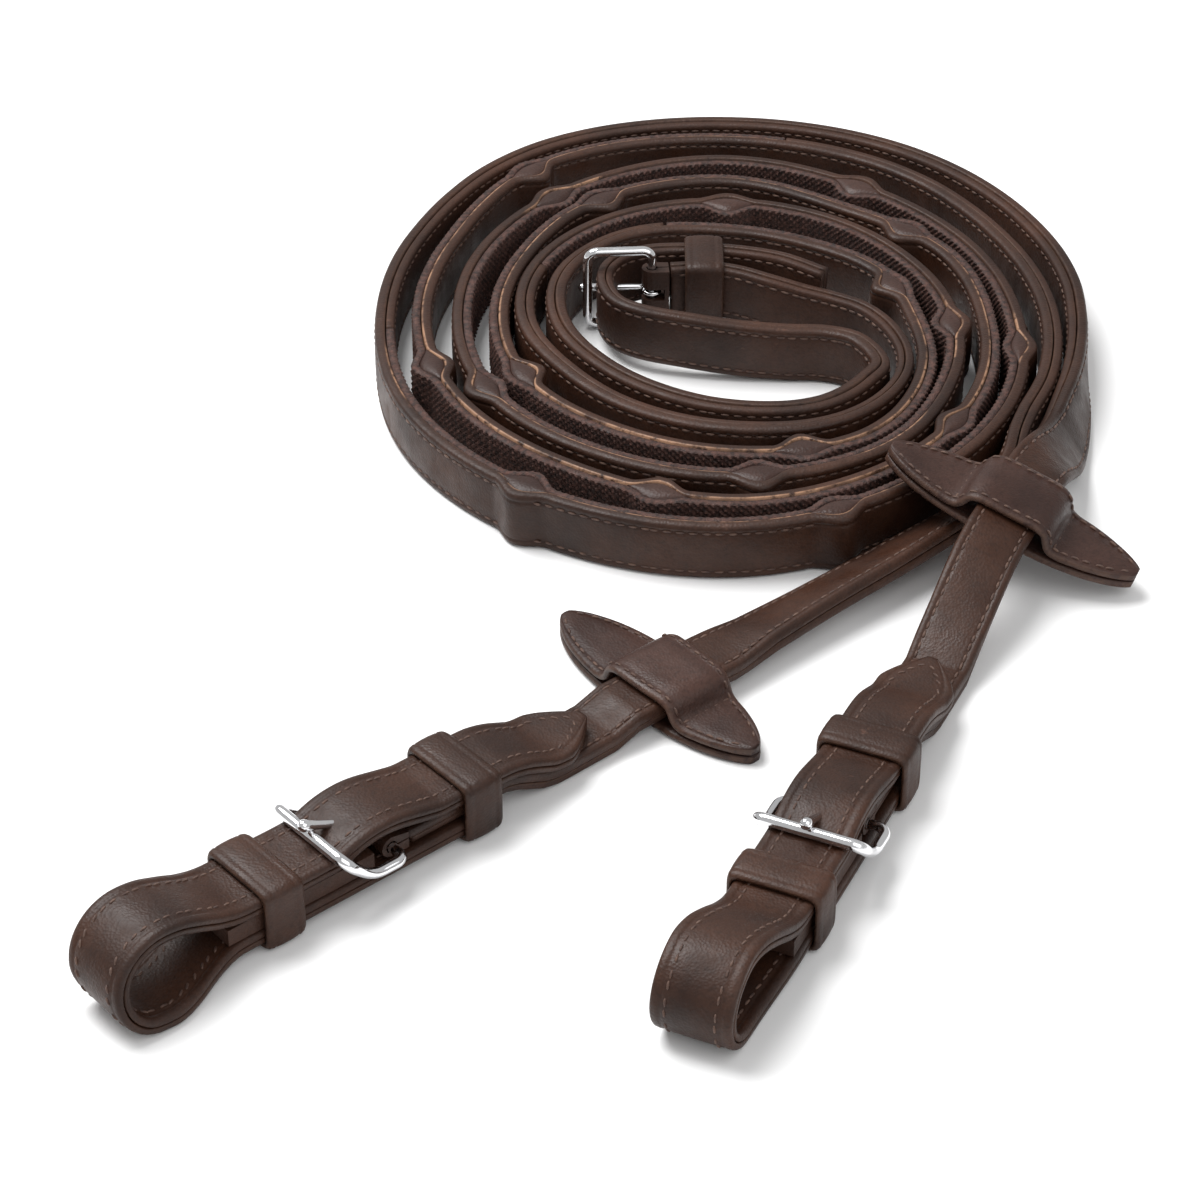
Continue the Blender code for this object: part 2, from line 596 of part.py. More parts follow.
    def build_rein_stop(self):
        """Two sewn plies across the strap, the upper one humped over it."""
        half = self.half
        u, _, _, offset = half.stop
        length = np.concatenate([[0], np.cumsum(np.linalg.norm(np.diff(half.line[:, :3], axis=0), axis=1))])
        station = half.fine[int(np.argmin(abs(length - (length[-1] - STOP_SPAN))))]
        point = np.array([*end_point(self.end, u), half.line[-1][2]])
        across, out, along = station.width, station.face, self.along
        hump = [(0.0, 4.4), (8.0, 4.4), (10.3, 3.2), (11.1, 1.2), (12.3, -0.5), (14.8, -1.3), (18.5, -1.35)]
        hump = [(-q, n) for q, n in reversed(hump[1:])] + hump
        low = -(HALF_GAP + LINING + GAP + REIN_STOP_PLY / 2)
        outer = (24.0, 28.0, 31.5, 33.6, REIN_STOP_HALF)
        hump = [(-q - offset, -1.35) for q in reversed(outer)] + hump + [(q - offset, -1.35) for q in outer]
        base = [(q - offset, low) for q in (0.0, 12.0, 18.0, *outer)]
        base = [(-q - offset, low) for q in reversed((12.0, 18.0, *outer))] + base
        for label, path in (("rein_stop_top", hump), ("rein_stop_base", base)):
            path = np.array(path)
            steps = np.gradient(path, axis=0)
            rings = []
            for (q, n), step in zip(path, steps):
                step = step / np.linalg.norm(step)
                normal = np.array([-step[1], step[0]]) * REIN_STOP_PLY / 2
                wide = 1.0 + (REIN_STOP_WIDTH - 1.0) * max(0.0, 1 - (abs(q + offset) / (REIN_STOP_HALF + 0.2)) ** 2.6) ** 0.72
                ring = []
                for sign, side in ((-1, -1), (1, -1), (1, 1), (-1, 1)):
                    a, b = q + sign * normal[0], n + sign * normal[1]
                    ring.append(point + across * a + out * b + along * side * wide)
                rings.append(ring)
            loft(f"{self.name}_{label}", "stops", rings)


def build_middle():
    """The buckle, prong, keeper and fold that join the two halves."""
    base, far, lift = CENTRE_BAR, (-3.4, 126.6), MIDDLE_LIFT
    reach = math.hypot(far[0] - base[0], far[1] - base[1])
    toward = np.array([(far[0] - base[0]) / reach, (far[1] - base[1]) / reach, 0.0])
    side = frame_path(BUCKLE_HALF, reach, 0.0)
    path = side[:-1] + [(-v, u, d) for v, u, d in reversed(side)][:-1]
    middle = BUCKLE_HALF + 0.1
    path = [np.array([*far, middle]) + toward * u + np.array([0, 0, v]) for v, u, _ in path]
    out = np.array([-toward[1], toward[0], 0.0])
    tube("centre_buckle", path, [WIRE] * len(path), lambda along: out, closed=True)
    hook = hook_path((0.0, 0.0), 2.1, 376, 92, (17.8, 2.65))
    hook.append((19.6, 2.5))
    radii = [0.6] * 8 + [0.65, 0.85, 1.0, 1.0, 1.25, 0.8]
    level = lift + HALF_WIDTH
    back = -out
    place = lambda p: np.array([*base, level]) + toward * p[0] + back * p[1]
    tube("centre_prong", [place(p) for p in hook], radii, lambda along: np.array([0.0, 0.0, 1.0]))
    shape = c_outline((0.0, 0.0), (2.8, 1.6), -4.6, 2.4)
    outline = [lambda v, p=p: np.array([*base, v]) + toward * p[0] + back * p[1] for p in shape]
    fold = extrude("centre_buckle_fold", "leather", outline, lift + 0.7, lift + STRAP_WIDTH - 0.7)
    cut(fold, box_cutter(lambda x, y, z: place((x, y)) + np.array([0, 0, z]), (-3.4, -5.0, -1.7), (4.0, 5.0, 1.7)))
    for name in ("left_rein_leather", "left_inner_lining"):
        box = box_cutter(lambda x, y, z: np.array([x, y, z]), (-3.0, 127.0, level - 1.6), (9.0, 133.0, level + 1.6))
        cut(bpy.data.objects[name], box)
    low, high = 124.8, 140.6
    half_y = (high - low) / 2
    place = lambda x, y, along: np.array([28.5 + along, (low + high) / 2 + y, level + x])
    keeper("centre_keeper", place, HALF_WIDTH + 0.3, half_y, KEEPER_WIDTH)


def set_origin(name, point):
    """Puts an object's origin at a point given in millimetres, without moving its mesh."""
    obj = bpy.data.objects[name]
    place = (np.array(point, float) + np.array(SHIFT)) * 0.001
    obj.data.transform(Matrix.Translation(-Vector(place)))
    obj.location = place


def main():
    clear_scene()
    right = Half(
        "right", 1, RIGHT_MIDDLE, RIGHT_TURNS, 0, RIGHT_TAIL, RIGHT_END, RIGHT_STOP, RIGHT_HAND_STOPS, RIGHT_WEBBING
    )
    left = Half(
        "left", -1, LEFT_MIDDLE, LEFT_TURNS, 30, LEFT_TAIL, LEFT_END, LEFT_STOP, LEFT_HAND_STOPS, LEFT_WEBBING
    )
    for half, runner, loop in ((right, RIGHT_RUNNER, RIGHT_LOOP), (left, LEFT_RUNNER, LEFT_LOOP)):
        half.build_straps()
        half.build_hand_stops()
        BitEnd(half, runner, loop).build()
        print(half.name, "length of half in mm", round(half.length))
        set_origin(f"{half.name}_bit_prong", (*end_point(half.end, -BAR_REACH), BASE_BAR_Z))
        set_origin(f"{half.name}_bit_runner", (*end_point(half.end, runner), LOWER_Z))
        for label in ("rein_stop_top", "rein_stop_base"):
            set_origin(f"{half.name}_{label}", (*end_point(half.end, half.stop[0]), half.stop[2]))
    build_middle()
    set_origin("centre_prong", (*CENTRE_BAR, MIDDLE_LIFT + HALF_WIDTH))


main()
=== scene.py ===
"""Leather reins lying coiled on edge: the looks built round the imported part."""

import math

import bpy
import numpy as np
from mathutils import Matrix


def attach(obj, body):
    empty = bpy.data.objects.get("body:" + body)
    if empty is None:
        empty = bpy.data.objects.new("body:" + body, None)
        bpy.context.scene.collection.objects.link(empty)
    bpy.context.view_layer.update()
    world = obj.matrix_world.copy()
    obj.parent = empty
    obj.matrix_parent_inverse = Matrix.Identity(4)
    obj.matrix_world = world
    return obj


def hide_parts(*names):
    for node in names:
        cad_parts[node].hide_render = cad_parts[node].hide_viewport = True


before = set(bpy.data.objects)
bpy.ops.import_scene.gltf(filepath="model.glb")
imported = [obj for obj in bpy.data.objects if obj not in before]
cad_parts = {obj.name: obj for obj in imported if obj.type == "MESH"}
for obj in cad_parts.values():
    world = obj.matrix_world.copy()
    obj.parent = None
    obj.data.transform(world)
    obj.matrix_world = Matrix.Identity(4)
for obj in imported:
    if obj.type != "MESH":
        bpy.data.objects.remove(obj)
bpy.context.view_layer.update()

# Strap and ply sizes
STRAP_WIDTH = 16.0
LEATHER = 2.8
LINING = 2.3
BILLET_PLY = 1.8
GAP = 0.3
HALF_GAP = GAP / 2
THIN = 0.8
HALF_WIDTH = STRAP_WIDTH / 2
BILLET_HALF = 9.5
LINING_HALF = HALF_WIDTH - 0.3
WEBBING_HALF = HALF_WIDTH - 0.6
# Hand stops: half length along the strap
STOP_HALF = 8.5
# Buckles and keepers
WIRE = 1.3
BUCKLE_HALF = 12.6
BIT_BUCKLE_HALF = 14.3
BAR_REACH = 16.5
KEEPER_WIDTH = 10.5
KEEPER_WALL = 1.5
# Rein stops
REIN_STOP_HALF = 34.5
REIN_STOP_WIDTH = 10.5
REIN_STOP_PLY = 2.2

# Bit ends, measured along the strap from the far bar of the buckle, toward the loop
TIP = -80.0
LOWER_START = -47.0
REIN_END = -21.7
KEEPER_AT = 15.0
LOOP_MIDDLE = 12.0
LOWER_Z = 3.75
REIN_Z = 7.99
TOP_Z = 12.63
BASE_BAR_Z = 8.7
FAR_BAR_Z = 16.1

# The coil is drawn about this point, and angles run clockwise from +X
CENTRE = (35.0, 108.0)
# The script works in millimetres about the coil's layout, and everything is moved by this much
SHIFT = (-9.854, -25.482, 0.0)

# Radius of the line between the plies, at every 30 degrees of each turn
RIGHT_TURNS = [
    [40.0, 52.1, 56.0, 53.0, 50.7, 50.3, 54.7, 58.3, 60.3, 60.0, 58.5, 57.3],
    [59.3, 64.3, 72.6, 74.7, 73.3, 73.0, 72.0, 75.3, 80.5, 84.3, 79.0, 76.3],
    [76.3, 81.8, 88.7, 96.3, 96.5, 95.0, 92.7, 96.5, 105.9, 106.9, 104.9, 98.6],
    [93.5],
]
LEFT_TURNS = [
    [45.5, 47.7, 43.9, 41.0, 41.7, 46.2, 51.0, 51.5, 46.5, 45.3, 48.6],
    [50.3, 58.4, 66.6, 65.3, 63.0, 63.0, 62.5, 65.0, 72.0, 74.0, 67.5, 69.8],
    [69.3, 74.3, 81.5, 87.0, 83.7, 83.2, 83.3, 87.0, 98.0, 98.0, 94.7, 88.0],
    [86.6, 88.6],
]

# Middle of the reins, from the end of each half: x, y, height of the lower edge
RIGHT_MIDDLE = [
    (19.4, 127.6, 3.4), (28.0, 128.3, 3.4), (37.0, 126.3, 3.4), (46.0, 122.8, 2.6),
    (55.0, 120.0, 1.2), (63.0, 117.6, 0.3), (70.2, 113.7, 0.0),
]
LEFT_MIDDLE = [
    (61.0, 127.0, 2.4), (50.0, 133.2, 3.2), (38.0, 136.7, 3.4), (26.0, 137.9, 3.4),
    (14.0, 137.2, 3.4), (6.0, 133.5, 3.4), (2.0, 127.0, 3.4), (1.8, 119.0, 3.4),
    (4.8, 111.5, 3.4), (11.0, 106.8, 3.4), (22.0, 103.8, 2.8), (36.0, 102.0, 1.4),
    (50.0, 101.5, 0.3), (60.5, 101.3, 0.0), (69.0, 97.5, 0.0),
]
# Base bar of the middle buckle, and how far the strap there stands off the floor
CENTRE_BAR = (14.2, 127.6)
MIDDLE_LIFT = 3.4
# Tails from the coil to the billet: x, y, roll in degrees, lift off the floor
RIGHT_TAIL = [
    (127.3, 92.0, 7, 0.0), (125.7, 80.3, 16, 0.0), (123.1, 68.8, 26, 0.0),
    (120.3, 58.3, 35, 0.3), (117.4, 48.0, 44, 4.0), (113.6, 38.4, 58, 9.2),
]
LEFT_TAIL = [
    (107.7, 54.4, 7, 0.0), (102.6, 42.4, 24, 0.0), (95.6, 30.9, 43, 0.0),
    (90.9, 25.3, 56, 0.0), (85.6, 20.5, 59, 0.0), (70.3, 6.7, 63, 0.0), (52.0, -9.2, 67, 0.0),
    (38.5, -20.8, 74, 0.4),
]
# Bit ends: x and y of the far bar, direction toward the loop
RIGHT_END = ((46.1, -108.1), (-0.419, -0.908))
LEFT_END = ((-64.3, -109.2), (-0.7596, -0.6504))
# Rein stops: place along the end's axis, roll, height of the ply line, how far the strap is off the middle
RIGHT_STOP = (-136.5, 71.5, 17.3, 0.0)
LEFT_STOP = (-106.0, 90.0, 4.95, 3.6)
STOP_SPAN = 15.5
# Runners on the two ends
RIGHT_RUNNER = -37.5
LEFT_RUNNER = -41.0
# Sideways set of the two loops: of the whole loop, and of its lower run against its upper run
RIGHT_LOOP = (-2.0, 0.5)
LEFT_LOOP = (3.6, 3.6)

# Hand stops: turn, angle, bulge on the webbing side, bulge on the leather side
RIGHT_HAND_STOPS = [
    (0, 271, 4.6, 2.6), (1, 3, 3.4, 2.5), (1, 86, 3.8, 4.4), (1, 152, 2.5, 3.6), (1, 233, 3.3, 2.8),
    (1, 299, 4.4, 3.4), (2, 11, 1.9, 2.2), (2, 75, 2.8, 3.4), (2, 124, 4.2, 3.2),
]
LEFT_HAND_STOPS = [
    (0, 340, 1.6, 4.6), (1, 75, 2.4, 4.6), (1, 153, 2.0, 4.4), (1, 241, 2.6, 4.6), (1, 318, 2.6, 4.4),
    (2, 42, 2.0, 2.9), (2, 104, 3.0, 4.0), (2, 163, 3.2, 3.2), (2, 235, 2.2, 4.6),
]
# Where the webbing takes over from the lining and where it ends: turn, angle
RIGHT_WEBBING = ((0, 208), (2, 176))
LEFT_WEBBING = ((0, 251), (2, 281))


def spline(points, step=1.0):
    """A smooth line through the points (Catmull-Rom), sampled about every millimetre."""
    points = np.array(points, float)
    before = 2 * points[0] - points[1]
    after = 2 * points[-1] - points[-2]
    ctrl = np.vstack([before, points, after])
    out = []
    for a, b, c, d in zip(ctrl, ctrl[1:], ctrl[2:], ctrl[3:]):
        knots = [0.0]
        for p, q in ((a, b), (b, c), (c, d)):
            knots.append(knots[-1] + max(np.linalg.norm((q - p)[:2]), 1e-6) ** 0.5)
        t0, t1, t2, t3 = knots
        count = max(2, int(np.linalg.norm((c - b)[:2]) / step))
        for t in np.linspace(t1, t2, count, endpoint=False):
            p1 = (t1 - t) / (t1 - t0) * a + (t - t0) / (t1 - t0) * b
            p2 = (t2 - t) / (t2 - t1) * b + (t - t1) / (t2 - t1) * c
            p3 = (t3 - t) / (t3 - t2) * c + (t - t2) / (t3 - t2) * d
            q1 = (t2 - t) / (t2 - t0) * p1 + (t - t0) / (t2 - t0) * p2
            q2 = (t3 - t) / (t3 - t1) * p2 + (t - t1) / (t3 - t1) * p3
            out.append((t2 - t) / (t2 - t1) * q1 + (t - t1) / (t2 - t1) * q2)
    out.append(points[-1])
    return np.array(out)


def on_turn(angle, radius):
    """The point at this angle, clockwise from +X about the coil's centre."""
    a = math.radians(angle)
    return CENTRE[0] + radius * math.cos(a), CENTRE[1] - radius * math.sin(a)


def turn_radii(turns, first_angle):
    """Angles, counted on through the turns, and radii at every 30 degrees."""
    flat = [r for turn in turns for r in turn]
    angles = [first_angle + 30 * i for i in range(len(flat))]
    return angles, flat


def coil_points(turns, first_angle):
    """Points of the coil every 10 degrees, as x, y, roll, lift."""
    angles, radii = turn_radii(turns, first_angle)
    line = spline([(a, r) for a, r in zip(angles, radii)], 5.0)
    wanted = np.arange(angles[0], angles[-1] + 1, 10)
    return [(*on_turn(a, np.interp(a, line[:, 0], line[:, 1])), 0.0, 0.0) for a in wanted]


def end_point(end, u, v=0.0):
    """A point in plan at distance u along a bit end's axis and v to its left."""
    (x, y), (dx, dy) = end
    return x + dx * u - dy * v, y + dy * u + dx * v


class Station:
    """One cross-section of a strap: place, the way its leather faces, the way its width runs."""

    def __init__(self, point, face, width, thin=1.0):
        self.point = np.array(point, float)
        self.face = face
        self.width = width
        self.thin = thin


def stations_from(line, side, thins):
    """Cross-sections at each row of a line of x, y, z, roll. side is +1 for leather on the left."""
    made = []
    for i, (row, thin) in enumerate(zip(line, thins)):
        a, b = line[max(i - 1, 0)], line[min(i + 1, len(line) - 1)]
        along = (b - a)[:3] / np.linalg.norm((b - a)[:3])
        flat = np.array([-along[1], along[0], 0.0]) * side
        flat /= np.linalg.norm(flat)
        up = np.cross(along, flat) * side
        roll = math.radians(row[3])
        face = flat * math.cos(roll) + up * math.sin(roll)
        width = up * math.cos(roll) - flat * math.sin(roll)
        made.append(Station(row[:3], face, width, thin))
    return made


def lengths_along(points):
    """Distance from the first point to each point of a line."""
    return np.concatenate([[0], np.cumsum(np.linalg.norm(np.diff(points, axis=0), axis=1))])


def angle_along(line):
    """Angle about the coil's centre at each row, counted on through the turns."""
    raw = np.arctan2(CENTRE[1] - line[:, 1], line[:, 0] - CENTRE[0])
    return np.degrees(np.unwrap(raw))


class Half:
    """One half of the reins, from the middle buckle to its rein end."""

    def __init__(self, name, side, middle, turns, first_angle, tail, end, stop, hand_stops, webbing):
        self.name, self.side, self.end, self.stop = name, side, end, stop
        rows = [(x, y, 0.0, z) for x, y, z in middle]
        rows += coil_points(turns, first_angle)
        rows += tail
        line = spline(rows)
        tilt = math.radians(stop[1])
        lift = stop[2] - HALF_WIDTH * math.cos(tilt) - (LINING + HALF_GAP) * math.sin(tilt)
        stop_rows = [(*end_point(end, stop[0] + du), stop[1], lift) for du in (-STOP_SPAN, STOP_SPAN)]
        line = np.vstack([line[:-1], spline([rows[-2], rows[-1], *stop_rows])[self.skip(rows):]])
        self.line = self.heights(line)
        self.place_marks(hand_stops, webbing)

    @staticmethod
    def skip(rows):
        a, b = np.array(rows[-2][:2]), np.array(rows[-1][:2])
        return max(2, int(np.linalg.norm(b - a)))

    def heights(self, line):
        """Rows of x, y, z, roll: a strap on edge stands on its edge, a flat one lies on its lining."""
        line[:, 2:] = np.clip(line[:, 2:], 0.0, (90.0, 20.0))
        roll = np.radians(line[:, 2])
        z = HALF_WIDTH * np.cos(roll) + (LINING + HALF_GAP) * np.sin(roll) + line[:, 3]
        return np.column_stack([line[:, 0], line[:, 1], z, line[:, 2]])

    def place_marks(self, hand_stops, webbing):
        """Stations along the coil, and how far along it each hand stop and each end of the webbing is."""
        line = self.line
        length = lengths_along(line[:, :3])
        angle = angle_along(line)
        start = np.searchsorted(length, 120.0)
        angle -= 360 * round((angle[start] - angle[start] % 360) / 360)
        after = np.arange(len(line)) > start
        self.length_at = lambda turn, a: float(
            np.interp(turn * 360 + a, angle[after], length[after])
        )
        self.bulges = [
            (self.length_at(turn, a), inward, outward) for turn, a, inward, outward in hand_stops
        ]
        self.web_from, self.web_to = (self.length_at(*edge) for edge in webbing)
        self.fine = stations_from(line, self.side, np.ones(len(line)))
        self.add_end_stations(length[-1])

    def add_end_stations(self, coil_length):
        """The flat run from the rein stop to the buckle, as distance along the end, height, thinning."""
        floor = LINING + HALF_GAP
        stop_u, roll, _, _ = self.stop
        lifted = self.line[-1][2]
        rows = []
        first = stop_u + STOP_SPAN
        if lifted > floor + 4:
            falls = ((8, 1.6, 2), (16, 4.8, 6), (24, 8.6, 11), (31, 11.6, 15))
            rows += [(first + du, lifted - fall, roll + turn, 1.0) for du, fall, turn in falls]
            rows += [(first + 37.5, floor, 90, 1.0)]
        else:
            rows += [(first + 7, floor + 0.3, 90, 1.0)]
        rows += [(-70.0, floor, 90, 1.0), (-66.0, floor, 90, 1.0), (-62.0, 3.2, 90, 0.96)]
        rows += [(-58.0, 5.0, 90, 0.91), (-54.0, 6.8, 90, 0.86), (-50.5, 7.8, 90, 0.81)]
        rows += [(-48.0, REIN_Z, 90, THIN), (REIN_END, REIN_Z, 90, THIN)]
        line = np.array([(*end_point(self.end, u), z, r) for u, z, r, _ in rows])
        joined = np.vstack([self.line[-2:], line])
        made = stations_from(joined, self.side, [1.0, 1.0] + [t for *_, t in rows])[2:]
        self.end_rows = [(u, station) for (u, *_), station in zip(rows, made)]
        self.length = float(coil_length + lengths_along(np.vstack([self.line[-1:], line])[:, :3])[-1])


def hook_path(bar, radius, first, leave, target, steps=4):
    """A prong in its own plane: it wraps the bar clockwise from first to leave, then runs to the target."""
    bx, bz = bar
    turns = np.radians(np.linspace(first, leave, 9))
    arc = [(bx + radius * math.cos(a), bz + radius * math.sin(a)) for a in turns]
    start = np.array(arc[-1])
    rest = [tuple(start + (np.array(target) - start) * k / steps) for k in range(1, steps + 1)]
    return arc + rest


class BitEnd:
    """Lines of the billet and its loop at the free end of one half."""

    def __init__(self, half, runner, loop):
        self.half, self.end, self.name, self.runner, self.loop = half, half.end, half.name, runner, loop
        dx, dy = self.end[1]
        self.along = np.array([dx, dy, 0.0])
        self.left = np.array([-dy, dx, 0.0])

    def at(self, u, v, z):
        x, y = end_point(self.end, u, v)
        return np.array([x, y, z])

    def all_at(self, u, v, z):
        """at(), for arrays."""
        u, v, z = np.broadcast_arrays(u, v, z)
        base = np.array([*self.end[0], 0.0])
        up = np.array([0.0, 0.0, 1.0])
        return base + self.along * u[..., None] + self.left * v[..., None] + up * z[..., None]

    def bend(self, u, z):
        """Sideways set of the loop at this place and height."""
        t = min(1.0, max(0.0, (u - 25.0) / 24.0))
        return (self.loop[0] + self.loop[1] * (LOOP_MIDDLE - z) / 10.0) * t * t * (3 - 2 * t)

    def billet_line(self):
        """(along, up) points of the billet's ply line, from its sewn end round the loop to its tip."""
        lower = [(u, LOWER_Z) for u in (LOWER_START, -20.0, 0.0, 14.0, 26.0)]
        loop = [(34.0, 3.0), (42.0, 2.2), (49.5, 1.95), (55.0, 2.9), (58.4, 6.0), (59.3, 10.0)]
        loop += [(57.8, 14.0), (54.0, 17.4), (48.5, 19.3), (42.0, 19.0), (36.0, 16.9), (30.5, 14.3)]
        upper = [(25.0, TOP_Z), (12.0, TOP_Z), (1.0, TOP_Z), (-2.0, 12.9), (-5.0, 14.1), (-8.0, 15.1)]
        upper += [(-11.5, 15.7), (-15.0, 15.8), (-18.5, 15.4), (-22.0, 14.6), (-26.0, 13.6)]
        upper += [(-30.0, TOP_Z + 0.1), (-33.0, TOP_Z)]
        over = HALF_GAP + GAP + BILLET_PLY + HALF_GAP
        for u, station in reversed(self.half.end_rows):
            if -50 < u < -40 or -68 < u <= -50:
                raised = station.point + station.face * (over + LEATHER * station.thin)
                upper.append((float((raised[:2] - self.end[0]) @ self.end[1]), raised[2]))
        high = upper[-1][1]
        upper += [(-72.0, high), (-75.5, high), (-78.0, high), (-79.4, high), (TIP, high)]
        return lower + loop + upper

    @staticmethod
    def tip_half(u, top):
        """Half width of the billet: it narrows to a point at its free end."""
        near = (u - TIP) / 12.0
        if not top or near >= 1:
            return BILLET_HALF
        return 0.9 + (BILLET_HALF - 0.9) * (1 - (1 - near) ** 1.4)


# Materials


class Nodes:
    """A short way to build a node tree."""

    def __init__(self, name):
        self.material = bpy.data.materials.new(name)
        self.material.use_nodes = True
        self.tree = self.material.node_tree
        self.shader = self.tree.nodes["Principled BSDF"]
        self.place = self.tree.nodes.new("ShaderNodeTexCoord").outputs["Object"]

    def set(self, socket, value):
        if isinstance(value, bpy.types.NodeSocket):
            self.tree.links.new(value, socket)
        elif isinstance(value, tuple) and len(value) == 3:
            socket.default_value = (*value, 1.0)
        else:
            socket.default_value = value

    def add(self, kind, out, **inputs):
        node = self.tree.nodes.new(kind)
        for key, value in inputs.items():
            if key.startswith("_"):
                setattr(node, key[1:], value)
            else:
                self.set(node.inputs[key.replace("__", " ")], value)
        return node.outputs[out]

    def noise(self, scale, detail=3.0, roughness=0.55):
        given = {"Vector": self.place, "Scale": scale, "Detail": detail, "Roughness": roughness}
        return self.add("ShaderNodeTexNoise", "Fac", **given)

    def spread(self, value, low, high, to_low=0.0, to_high=1.0):
        node = self.tree.nodes.new("ShaderNodeMapRange")
        for index, given in enumerate((value, low, high, to_low, to_high)):
            self.set(node.inputs[index], given)
        return node.outputs[0]

    def math(self, kind, a, b=0.5):
        node = self.tree.nodes.new("ShaderNodeMath")
        node.operation = kind
        self.set(node.inputs[0], a)
        self.set(node.inputs[1], b)
        return node.outputs[0]

    def mix(self, fac, a, b):
        node = self.tree.nodes.new("ShaderNodeMix")
        node.data_type = "RGBA"
        self.set(node.inputs["Factor"], fac)
        self.set(node.inputs[6], a)
        self.set(node.inputs[7], b)
        return node.outputs[2]

    def attribute(self, name):
        node = self.tree.nodes.new("ShaderNodeAttribute")
        node.attribute_name = name
        return node.outputs["Fac"]

    def bump(self, height, strength, distance, normal=None):
        node = self.tree.nodes.new("ShaderNodeBump")
        self.set(node.inputs["Height"], height)
        node.inputs["Strength"].default_value = strength
        node.inputs["Distance"].default_value = distance
        if normal:
            self.tree.links.new(normal, node.inputs["Normal"])
        return node.outputs["Normal"]

    def finish(self, colour, roughness, normal, metallic=0.0, **more):
        self.set(self.shader.inputs["Base Color"], colour)
        self.set(self.shader.inputs["Roughness"], roughness)
        self.shader.inputs["Metallic"].default_value = metallic
        self.tree.links.new(normal, self.shader.inputs["Normal"])
        for key, value in more.items():
            self.set(self.shader.inputs[key.replace("__", " ")], value)
        return self.material


def leather_material(name, dark, light, rough, tan=(0.36, 0.20, 0.12)):
    """Finished leather: pebbled grain, creases, handled patches, and a raw tan edge where it is worn."""
    n = Nodes(name)
    patches = n.spread(n.noise(38.0, 5.0), 0.35, 0.68)
    fine = n.noise(900.0, 2.0)
    colour = n.mix(patches, dark, light)
    colour = n.mix(n.spread(fine, 0.45, 0.75, 0.0, 0.45), colour, tuple(0.55 * c for c in dark))
    scuffs = n.spread(n.noise(170.0, 6.0, 0.7), 0.66, 0.78, 0.0, 0.55)
    colour = n.mix(scuffs, colour, tuple(min(1.0, 2.3 * c + 0.02) for c in light))
    broken = n.spread(n.noise(420.0, 3.0, 0.6), 0.36, 0.52)
    worn = n.math("MULTIPLY", n.attribute("edge"), broken)
    colour = n.mix(worn, colour, tan)
    cells = n.add("ShaderNodeTexVoronoi", "Distance", _feature="F1", Vector=n.place, Scale=1500.0)
    grain = n.bump(cells, 0.35, 0.0002)
    grain = n.bump(n.noise(260.0, 4.0), 0.3, 0.0004, grain)
    roughness = n.spread(n.noise(120.0, 4.0), 0.3, 0.7, rough - 0.08, rough + 0.14)
    return n.finish(colour, roughness, grain, Specular__IOR__Level=0.3)


def webbing_material(name, dark, light):
    """Woven grip webbing: crossed threads with fuzz, and a painted highlight on the raised picks."""
    n = Nodes(name)
    colour = n.mix(n.spread(n.noise(700.0, 4.0), 0.35, 0.7), dark, light)
    # painted highlight: the raised picks are coloured lighter by their height, as if catching the light
    high = n.spread(n.attribute("high"), 0.55, 1.0, 0.0, 0.7)
    colour = n.mix(high, colour, tuple(1.9 * c for c in light))
    threads = n.add("ShaderNodeTexVoronoi", "Distance", _feature="F1", Vector=n.place, Scale=2200.0)
    normal = n.bump(threads, 0.6, 0.0003)
    normal = n.bump(n.noise(1500.0, 3.0), 0.4, 0.0003, normal)
    return n.finish(colour, n.spread(n.noise(300.0), 0.3, 0.7, 0.62, 0.9), normal)


def thread_material(name, dark, light):
    n = Nodes(name)
    colour = n.mix(n.spread(n.noise(600.0, 3.0), 0.35, 0.65), dark, light)
    twist = n.add("ShaderNodeTexWave", "Fac", Vector=n.place, Scale=1400.0, Distortion=2.0)
    return n.finish(colour, n.spread(n.noise(500.0), 0.3, 0.7, 0.45, 0.7), n.bump(twist, 0.5, 0.0001))


def steel_material(name):
    """Polished stainless wire with fine scratches and a few dull marks."""
    n = Nodes(name)
    scratches = n.noise(2400.0, 2.0, 0.5)
    dull = n.spread(n.noise(140.0, 5.0), 0.55, 0.75, 0.0, 0.16)
    colour = n.mix(n.spread(n.noise(90.0), 0.3, 0.7), (0.74, 0.74, 0.76), (0.86, 0.86, 0.87))
    roughness = n.math("ADD", n.spread(scratches, 0.4, 0.8, 0.07, 0.18), dull)
    return n.finish(colour, roughness, n.bump(scratches, 0.08, 0.00005), 1.0)


LEATHER_DARK, LEATHER_LIGHT = (0.018, 0.0062, 0.0029), (0.048, 0.0180, 0.0090)
MATERIALS = {
    "leather": leather_material("leather", LEATHER_DARK, LEATHER_LIGHT, 0.46),
    "lining": leather_material("lining_leather", (0.022, 0.0080, 0.0040), (0.052, 0.020, 0.0105), 0.55),
    "stops": leather_material("stop_leather", (0.024, 0.0095, 0.0065), (0.056, 0.026, 0.019), 0.42),
    "webbing": webbing_material("grip_webbing", (0.016, 0.0060, 0.0042), (0.085, 0.036, 0.026)),
    "thread": thread_material("thread", (0.045, 0.020, 0.014), (0.115, 0.062, 0.042)),
    "steel": steel_material("steel"),
}

# Meshes


